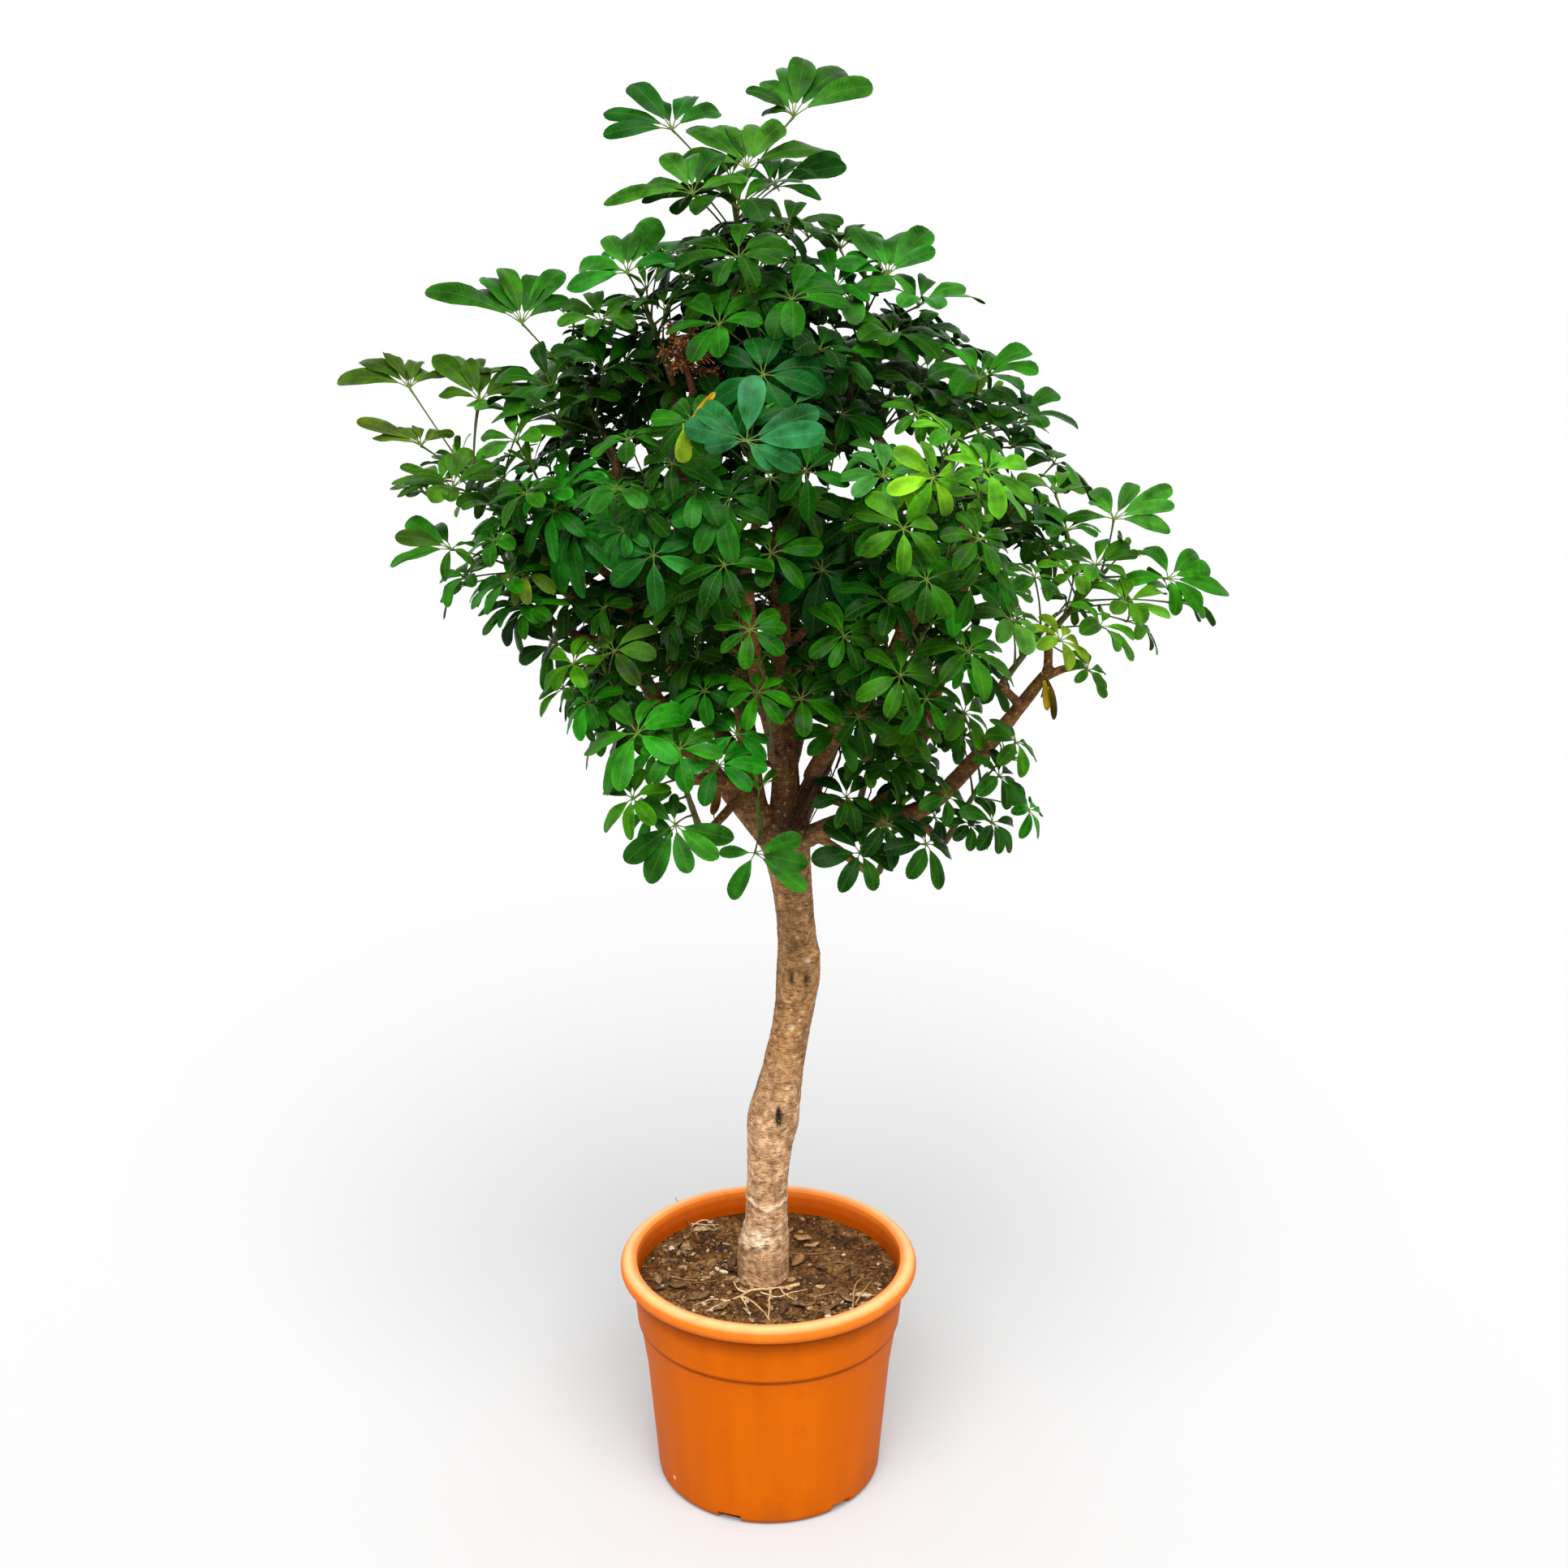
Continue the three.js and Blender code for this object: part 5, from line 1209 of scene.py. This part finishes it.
def fan_at(hub):
    """Turn, narrowing and leaflets of the leaf seen at this place, or none of its own."""
    x, z = seen_place(hub)
    for (fan_x, fan_z), fan in FANS.items():
        if hub.y < FAN_DEPTH and math.hypot(x - fan_x, z - fan_z) < FAN_REACH:
            return fan
    return 0, 0, []


def fan_of(leaf, dice):
    """Each leaflet's heading from the hub in the leaf's plane, its length and its breadth share."""
    up, toward, fan = leaf["normal"], leaf["toward"], []
    sight = (leaf["hub"] - EYE).normalized()
    _, narrowing, leaflets = fan_at(leaf["hub"])
    for bearing, length in leaflets:
        turn = math.radians(bearing)
        seen = Vector((math.cos(turn), 0, math.sin(turn)))
        flat = seen - sight * (up.dot(seen) / up.dot(sight))
        fan.append((flat.normalized(), length * min(flat.length, FAN_STRETCH),
                    1 - narrowing * (1 - abs(seen.z))))
    if not fan:
        for i in range(leaf["count"]):
            turn = math.pi * (2 * i + 1) / leaf["count"] + dice.uniform(-0.26, 0.26)
            share = (1 - SHORTEN + SHORTEN * math.cos(turn)) * dice.uniform(0.86, 1.06)
            heading = toward * math.cos(turn) + up.cross(toward) * math.sin(turn)
            fan.append((heading, leaf["reach"] * share, 1))
    return fan


def nod(leaf, dice):
    """Turns a leaf a little about its hub, and more inside the crown, where leaves turn to find
    light, unless it borders an open spot. A level leaf nods towards the viewer, but not at the
    left, and a leaf that is drawn by its leaflets faces them by its own turn."""
    turn, _, leaflets = fan_at(leaf["hub"])
    if leaflets:
        leaf["normal"] = (leaf["normal"] + (EYE - leaf["hub"]).normalized() * turn).normalized()
        leaf["rise"], leaf["droop"] = FAN_ARCH
        return leaf
    x, z = seen_place(leaf["hub"])
    aside = (x - CROWN_MIDDLE.x) / CROWN_REACH.x
    inside = math.hypot(aside, (z - CROWN_MIDDLE.z) / CROWN_REACH.z) < INSIDE
    open_by = hides_an_open_spot(leaf)
    sway = INNER_SWAY if inside and not open_by else SWAY
    forward = NOD if leaf["normal"].z > 0.85 and aside > -INSIDE and not open_by else 0
    lean = (Matrix.Rotation(forward + dice.uniform(-sway, sway), 3, "X")
            @ Matrix.Rotation(dice.uniform(-sway, sway), 3, "Y"))
    leaf["normal"] = lean @ leaf["normal"]
    leaf["toward"] = lean @ leaf["toward"]
    return leaf


def leaflet(shape, leaf, heading, length, half_width, tone, dice):
    """A pale stalklet and an egg-shaped blade, widest towards its round tip, that is folded a
    little along its middle and wavy along its edges."""
    hub, up = leaf["hub"], leaf["normal"]
    reach = leaf["reach"]
    rise = leaf["rise"] + dice.uniform(-0.12, 0.08)
    droop = leaf["droop"] + dice.uniform(-0.08, 0.2)
    side = heading.cross(up).normalized()
    twist = dice.uniform(-0.5, 0.5)
    sweep = dice.uniform(-0.07, 0.07)
    fold = dice.uniform(0.15, 0.5)
    cup = dice.uniform(0.12, 0.4)
    phase = dice.uniform(0, 2 * math.pi)
    ripple = dice.uniform(0.8, 2.2) * reach / 80

    def middle(t):
        bend = up * (reach * (rise * t - droop * t * t))
        return hub + heading * (length * t) + side * (length * sweep * t * t) + bend

    stalklet = [middle(STALKLET_SHARE * k / 3) for k in range(4)] + [middle(STALKLET_SHARE * 1.25)]
    pale = blend(tone, STALKLET_TONE, 0.4)
    shape.add(*tube(stalklet, (1.1, 0.8, 0.7, 0.7, 0.4), 5), pale, skin=2)
    grid = np.zeros((len(LEAF_ROWS), len(LEAF_COLUMNS), 3))
    tones, places = [], []
    for r, (s, width) in enumerate(zip(LEAF_ROWS, LEAF_WIDTHS)):
        t = STALKLET_SHARE + (1 - STALKLET_SHARE) * s
        centre = middle(t)
        tangent = (middle(t + 0.01) - middle(t - 0.01)).normalized()
        flat = (side - tangent * side.dot(tangent)).normalized()
        rolled = Matrix.Rotation(twist * s, 3, tangent) @ flat
        top = rolled.cross(tangent).normalized()
        half = half_width * width
        for c, column in enumerate(LEAF_COLUMNS):
            lift = half * (fold * abs(column) - cup * column ** 2)
            lift += ripple * math.sin(9 * s + 2 * column + phase) * column ** 2 * width
            grid[r, c] = centre + rolled * (half * column) + top * lift
            places.append((half * column, length * (1 - STALKLET_SHARE) * s))
            # Painted light and shade on the blade: paler towards its stalklet and in soft bands,
            # with a painted highlight along its edges.
            light = 0.95 + 0.3 * (1 - s) ** 3 + 0.22 * math.sin(5 * s + phase + 2 * column)
            light += 0.4 * column ** 4 - 0.2 * abs(column)
            tones.append(tuple(channel * light for channel in tone[:3]) + (1,))
    points, faces, below, rim = thin_sheet(grid, LEAF_THICKNESS)
    under = [blend(t, UNDERSIDE_TONE, 0.25) for t in tones]
    skins = [0] * len(faces) + [1] * (len(below) + len(rim))
    shape.add(points.tolist(), faces + below + rim, tones + under, skins, places + places)


def grow_leaf(shape, leaf, heading, tone_pair, dice):
    """A whole leaf: the long stalk from the stem, then its leaflets round the hub."""
    hub, root, up = leaf["hub"], leaf["root"], leaf["normal"]
    straight = hub - root
    sag = heading * (straight.length * STALK_SAG)
    stalk = [root + straight * t + sag * math.sin(math.pi * t) for t in STALK_SHARES]
    stalk.append(hub - up * 0.6)
    tones = [blend(STALK_FOOT_TONE, STALK_TONE, i / 6) for i in range(7) for _ in range(6)]
    shape.add(*tube(stalk, STALK_RADII, 6), tones, skin=2)
    slim = SLIMNESS * math.sin(math.pi / max(leaf["count"], 7))
    for outward, length, breadth in fan_of(leaf, dice):
        half = min(slim * leaf["reach"], BROADEST * length) * breadth * dice.uniform(0.84, 1.1)
        # Each leaflet is lighter or darker at random, for its own tone and for painted light and
        # shade.
        light = dice.uniform(0.6, 1.45)
        own = tuple(c * light for c in blend(*tone_pair, dice.random())[:3]) + (1,)
        leaflet(shape, leaf, outward, length, half, own, dice)


def young_leaf(shape, tip, heading, bud_tone, dice):
    """The closed bud at the end of a stem, with one small leaf that is still folded upward."""
    bud = [tip - heading, tip + heading * 4, tip + heading * 9, tip + heading * 13]
    shape.add(*tube(bud, (2.5, 2.9, 1.8, 0.4), 7), bud_tone, skin=2)
    lean = heading.orthogonal().normalized()
    lean = Matrix.Rotation(dice.uniform(0, 2 * math.pi), 3, heading) @ lean
    hub = tip + heading * dice.uniform(20, 30) + lean * 8
    up = (heading + lean * 0.2).normalized()
    toward = (lean - up * lean.dot(up)).normalized()
    small = {"hub": hub, "root": tip, "normal": up, "toward": toward, "count": 5,
             "reach": dice.uniform(22, 30), "rise": 1.5, "droop": 0.5}
    grow_leaf(shape, small, heading, YOUNG_TONES, dice)


def grow_stem(shape, foot, tip, foot_radius, tip_radius):
    """A green stem end, swollen a little at every second joint."""
    path = [foot.lerp(tip, i / 8) for i in range(9)]
    radii = [foot_radius + (tip_radius - foot_radius) * i / 8 + 0.35 * (i % 2) for i in range(9)]
    tones = [blend(*STEM_TONES, i / 6) for i in range(9) for _ in range(9)]
    shape.add(*tube(path, radii, 9), tones, skin=2)


# Size of the olive clouds, spacing of the side veins and size of the flecks on a stalk.
CLOUD, VEIN_STEP, STALK_FLECK = 24, 6, 6


def blade_surface(name, roughness, gloss, vein_share, rib_share):
    """A leaf skin: its own green, clouded with olive, with a pale midrib, side veins 6 mm apart
    and a bump that follows them. Places on the blade are in millimetres."""
    material, tree, shader = new_surface(
        name, Roughness=roughness, Specular_IOR_Level=gloss, IOR=1.45)
    tone = add_node(tree, "Attribute", {"attribute_name": "tone"}).outputs["Color"]
    spot = add_node(tree, "UVMap", {"uv_map": "millimetres"}).outputs[0]
    parts = add_node(tree, "SeparateXYZ", inputs={0: spot})
    across = add_node(tree, "Math", {"operation": "ABSOLUTE"}, {0: parts.outputs[0]}).outputs[0]
    slant = add_node(tree, "Math", {"operation": "MULTIPLY_ADD"}, {
        0: across, 1: -0.75, 2: parts.outputs[1]}).outputs[0]
    wave = add_node(tree, "Math", {"operation": "PINGPONG"}, {
        0: slant, 1: VEIN_STEP / 2}).outputs[0]
    vein = add_node(tree, "MapRange", inputs={0: wave, 1: 0.0, 2: 0.7, 3: 1.0, 4: 0.0}).outputs[0]
    rib = add_node(tree, "MapRange", inputs={0: across, 1: 0.2, 2: 0.9, 3: 1.0, 4: 0.0}).outputs[0]
    coords = add_node(tree, "TexCoord").outputs["Object"]
    blotch = add_node(tree, "TexNoise", inputs={
        "Vector": coords, "Scale": 1000 / CLOUD, "Detail": 6, "Roughness": 0.6})
    blotch_tone = add_node(tree, "ValToRGB", inputs={0: blotch.outputs[0]}, stops=[
        (0.32, "#94a474"), (0.5, "#dce4cc"), (0.66, "#ffffff")]).outputs[0]
    clouded = add_node(tree, "Mix", TINT, {0: 1.0, 6: tone, 7: blotch_tone}).outputs[2]
    veined_share = add_node(tree, "Math", {"operation": "MULTIPLY"}, {0: vein, 1: vein_share})
    veined = add_node(tree, "Mix", OVER, {
        0: veined_share.outputs[0], 6: clouded, 7: linear("#5c8a24")}).outputs[2]
    ribbed_share = add_node(tree, "Math", {"operation": "MULTIPLY"}, {0: rib, 1: rib_share})
    ribbed = add_node(tree, "Mix", OVER, {
        0: ribbed_share.outputs[0], 6: veined, 7: linear("#86a43c")}).outputs[2]
    tree.links.new(ribbed, shader.inputs["Base Color"])
    relief = add_node(tree, "Math", {"operation": "MAXIMUM"}, {0: vein, 1: rib}).outputs[0]
    veins_bump = add_node(tree, "Bump", {"invert": True}, {
        "Strength": 0.35, "Distance": 0.0006, "Height": relief}).outputs[0]
    skin_bump = add_node(tree, "Bump", inputs={
        "Strength": 0.25, "Distance": 0.002, "Height": blotch.outputs[0],
        "Normal": veins_bump}).outputs[0]
    tree.links.new(skin_bump, shader.inputs["Normal"])
    return material


# The waxy upper skin takes a soft broad shine. The underside is nearly matt, with paler veins.
upper_skin = blade_surface("waxy_leaf_upper_side", 0.28, 0.05, 0.06, 0.08)
under_skin = blade_surface("matt_leaf_underside", 0.7, 0.03, 0.12, 0.2)
# Green stalks are smooth and faintly shiny, yellower towards the leaflets.
green_stalk, tree, shader = new_surface("green_leaf_stalk", Roughness=0.5, Specular_IOR_Level=0.2)
tone = add_node(tree, "Attribute", {"attribute_name": "tone"}).outputs["Color"]
coords = add_node(tree, "TexCoord").outputs["Object"]
flecks = add_node(tree, "TexNoise", inputs={
    "Vector": coords, "Scale": 1000 / STALK_FLECK, "Detail": 3})
fleck_tone = add_node(tree, "ValToRGB", inputs={0: flecks.outputs[0]}, stops=[
    (0.35, "#c9c3b0"), (0.65, "#ffffff")]).outputs[0]
flecked = add_node(tree, "Mix", TINT, {0: 1.0, 6: tone, 7: fleck_tone}).outputs[2]
tree.links.new(flecked, shader.inputs["Base Color"])
LEAF_SKINS = [upper_skin, under_skin, green_stalk]

for name in shoot_names:
    dice = random.Random("shoot " + name)
    points, _, fellows = cad_shoots[name]
    foot, tip, heading = stems[name]
    shoot = Shape()
    grow_stem(shoot, foot, tip, STEM_FOOT_RADIUS, STEM_TIP_RADIUS)
    leaves = leaves_of(points, fellows)
    between = leaves_between(leaves, foot, heading, dice)
    if name in SPARSE:
        between = between[::3]
    leaves = [nod(leaf, dice) for leaf in leaves]
    for leaf in leaves + [leaf for leaf in between if not hides_an_open_spot(leaf)]:
        grow_leaf(shoot, leaf, heading, leaf_tones(name, leaf["hub"], dice), dice)
    young_leaf(shoot, tip, heading, BROWN_BUD if name == "crown_top" else GREEN_BUD, dice)
    shoot.finish("leaves_" + name, LEAF_SKINS, ["shoot_" + name])

# ---- Inner sprigs ------------------------------------------------------------------------
# Short side sprigs along the limbs and the upper twigs, with a few small dark leaves each. Their
# dark green is painted shade, and they fill the inside of the crown.
# How far apart they grow, and the heights above which limbs and twigs carry them.
SPRIG_STEP, LEADER_STEP = 62, 34
SPRIG_FLOOR, TWIG_SPRIG_FLOOR = 1120, 1380
SPRIG_LEAVES = 5
# Dark greens, painted as the shade inside the crown.
SPRIG_TONES = [(tone_of("#042a03"), tone_of("#0c4005")), (tone_of("#083404"), tone_of("#1c3c05")),
               (tone_of("#163004"), tone_of("#144405"))]


def grow_sprig(shape, start, onward, dice):
    """A twiglet that leaves the wood at an angle, with five small leaves."""
    away = onward.orthogonal().normalized()
    away = Matrix.Rotation(dice.uniform(0, 2 * math.pi), 3, onward) @ away
    heading = (away + onward * 0.4 + Vector((0, 0, 0.5))).normalized()
    tip = start + heading * dice.uniform(42, 70)
    grow_stem(shape, start, tip, 2.8, 1.8)
    for k in range(SPRIG_LEAVES):
        turn = 2 * math.pi * k / SPRIG_LEAVES + dice.uniform(-0.3, 0.3)
        out = Matrix.Rotation(turn, 3, heading) @ heading.orthogonal().normalized()
        root = start.lerp(tip, dice.uniform(0.5, 1))
        hub = root + (out + heading * dice.uniform(0.1, 0.9)).normalized() * dice.uniform(38, 62)
        up = (heading + out * 0.5 + Vector((0, -0.2, 0.6))).normalized()
        toward = (out - up * out.dot(up)).normalized()
        leaf = {"hub": hub, "root": root, "normal": up, "toward": toward, "count": 7,
                "reach": dice.uniform(42, 60), "rise": dice.uniform(0.4, 0.8), "droop": 0.6}
        if not hides_an_open_spot(leaf):
            grow_leaf(shape, leaf, heading, dice.choice(SPRIG_TONES), dice)


dice = random.Random(21)
for limb in LIMBS:
    sprigs = Shape()
    line = [Vector(p[:3]) for p in smooth_path(limb_stations(limb), LIMB_STEPS)]
    gone, step = 0, LEADER_STEP if limb == "leader" else SPRIG_STEP
    for here, after in zip(line, line[1:]):
        gone += (after - here).length
        if gone > step and here.z > SPRIG_FLOOR:
            grow_sprig(sprigs, here, (after - here).normalized(), dice)
            gone = 0
    for name in shoot_names:
        foot, _, heading = stems[name]
        if LIMB_OF[name] == limb and foot.z > TWIG_SPRIG_FLOOR:
            twig, _ = twig_path(limb, foot, heading)
            for here, after in ((twig[3], twig[4]), (twig[6], twig[7])):
                grow_sprig(sprigs, here, (after - here).normalized(), dice)
    if sprigs.faces:
        sprigs.finish("sprigs_" + limb, LEAF_SKINS)

# ---- Withered leaflets -------------------------------------------------------------------
# A few leaflets have died on the plant: two turn gold and olive by the big leaf in front, a brown
# one hangs at the fork, and three hang yellow and black from a cut stub on the right limb.
# Each: where its stalk starts (seen x, height, depth), where its tip is, half width, colours.
WITHERED = [
    ((-93, 1433, -300), (-63, 1466, -305), 3.6, "#e0b01c", "#c87818"),
    ((-100, 1430, -300), (-103, 1383, -306), 9.5, "#6c8c18", "#8a9a24"),
    ((-62, 984, -88), (-66, 938, -96), 6.5, "#7c4a1c", "#5a2c10"),
    ((341, 1125, -4), (354, 1076, -14), 5, "#d8b020", "#8a6a10"),
    ((345, 1126, -4), (364, 1064, -10), 4.5, "#3a2610", "#a07c18"),
    ((349, 1127, -4), (346, 1090, -6), 4, "#241709", "#7c5c14"),
]
dice = random.Random(5)
withered = Shape()
for start, end, half_width, fresh, spent in WITHERED:
    hub, tip = seen_at(*start), seen_at(*end)
    span = tip - hub
    facing = Vector((0.3, -1, 0.2))
    facing = (facing - span * (facing.dot(span) / span.length ** 2)).normalized()
    leaf = {"hub": hub, "normal": facing, "reach": span.length, "rise": 0.3, "droop": 0.35}
    curled = blend(tone_of(fresh), tone_of(spent), dice.uniform(0.2, 0.5))
    leaflet(withered, leaf, span.normalized(), span.length, half_width, curled, dice)
withered.finish("withered_leaflets", LEAF_SKINS)

# ---- Spent flower ------------------------------------------------------------------------
# Last year's flower head, dried on its stalk: stiff rays carry tiny umbels whose threads end in
# shrivelled fruits, all rusty brown and brittle.
RAY_TIP_RADIUS = 1.1
KNOTS, THREADS = 6, 9
RUST = ["#68361a", "#8a5428", "#50280f", "#a87440"]


def rays_of(points, faces, foot, heading):
    """Where each ray of the solid leaves its stalk and where it ends."""
    rays = []
    for face in faces:
        a, b, c = (points[i] for i in face)
        if even_triangle(a, b, c, RAY_TIP_RADIUS):
            end = (a + b + c) / 3
            along = (b - a).cross(c - a).normalized()
            across = heading.cross(along)
            if across.length > 0.05:
                away = (end - foot).dot(across.cross(along)) / heading.dot(across.cross(along))
                rays.append((foot + heading * away, end))
    return rays


# Dry plant matter is matt and rusty, so it has the surface of the weathered bits on the soil.
dice = random.Random(3)
flower = Shape()
foot, tip, heading = flower_stem
stalk = [foot.lerp(tip, i / 5) for i in range(6)]
flower.add(*tube(stalk, np.linspace(STEM_FOOT_RADIUS, STEM_TIP_RADIUS, 6), 8), tone_of(RUST[0]))
for start, end in rays_of(flower_points, flower_faces, foot, heading):
    ray = end - start
    path = [start + ray * t for t in (0, 0.3, 0.6, 1)]
    path = [p + Vector((noise.noise(p), 0, 0)) * 2 for p in path]
    flower.add(*tube(path, (1.6, 1.2, 1.0, 0.7), 6), tone_of(dice.choice(RUST)))
    for k in range(KNOTS):
        knot = start + ray * (0.25 + 0.15 * k)
        for _ in range(THREADS):
            thread = Vector([dice.gauss(0, 1) for _ in range(3)]).normalized() * dice.uniform(5, 9)
            thread += ray.normalized() * 2
            shade = tone_of(dice.choice(RUST), dice.uniform(0.7, 1.3))
            path = [knot, knot + thread * 0.6, knot + thread]
            flower.add(*tube(path, (0.45, 0.35, 0.3), 4), shade)
            berry = [knot + thread * share for share in (0.9, 1.03, 1.2, 1.3)]
            flower.add(*tube(berry, (0.4, 1.25, 1.1, 0.4), 5), shade)
flower.finish("spent_flower_head", [weathered_bits], ["spent_flower"])

# ---- Floor and light ---------------------------------------------------------------------
# A plain pale floor without an edge in sight, even white light all round, and a broad soft lamp
# high up in front. The floor's tone makes it as bright as the white room behind it.
FLOOR_REACH, FLOOR_DROP = 60000, 0.3
FLOOR_TONE = "#afafaf"
ROOM_LIGHT = 1.0
# The lamp's height, turn to the right and spread in degrees, and its strength.
LAMP = {"height": 55, "right": 2, "spread": 50, "strength": 5.15}
floor_mesh = bpy.data.meshes.new("floor")
floor_corners = [Vector((x * FLOOR_REACH, y * FLOOR_REACH, -FLOOR_DROP)) / 1000
                 for x, y in ((-1, -1), (1, -1), (1, 1), (-1, 1))]
floor_mesh.from_pydata(floor_corners, [], [(0, 1, 2, 3)])
floor_paint, _, _ = new_surface(
    "matt_pale_floor", Base_Color=linear(FLOOR_TONE), Roughness=0.95, Specular_IOR_Level=0.05)
floor_mesh.materials.append(floor_paint)
floor = bpy.data.objects.new("floor", floor_mesh)
scene.collection.objects.link(floor)

lamp = bpy.data.lights.new("softbox", "SUN")
lamp.angle = math.radians(LAMP["spread"])
lamp.energy = LAMP["strength"]
stand = bpy.data.objects.new("softbox", lamp)
stand.rotation_euler = (math.radians(90 - LAMP["height"]), 0, math.radians(LAMP["right"]))
scene.collection.objects.link(stand)
world = bpy.data.worlds.new("studio")
world.use_nodes = True
world.node_tree.nodes["Background"].inputs["Color"].default_value = (1, 1, 1, 1)
world.node_tree.nodes["Background"].inputs["Strength"].default_value = ROOM_LIGHT
scene.world = world
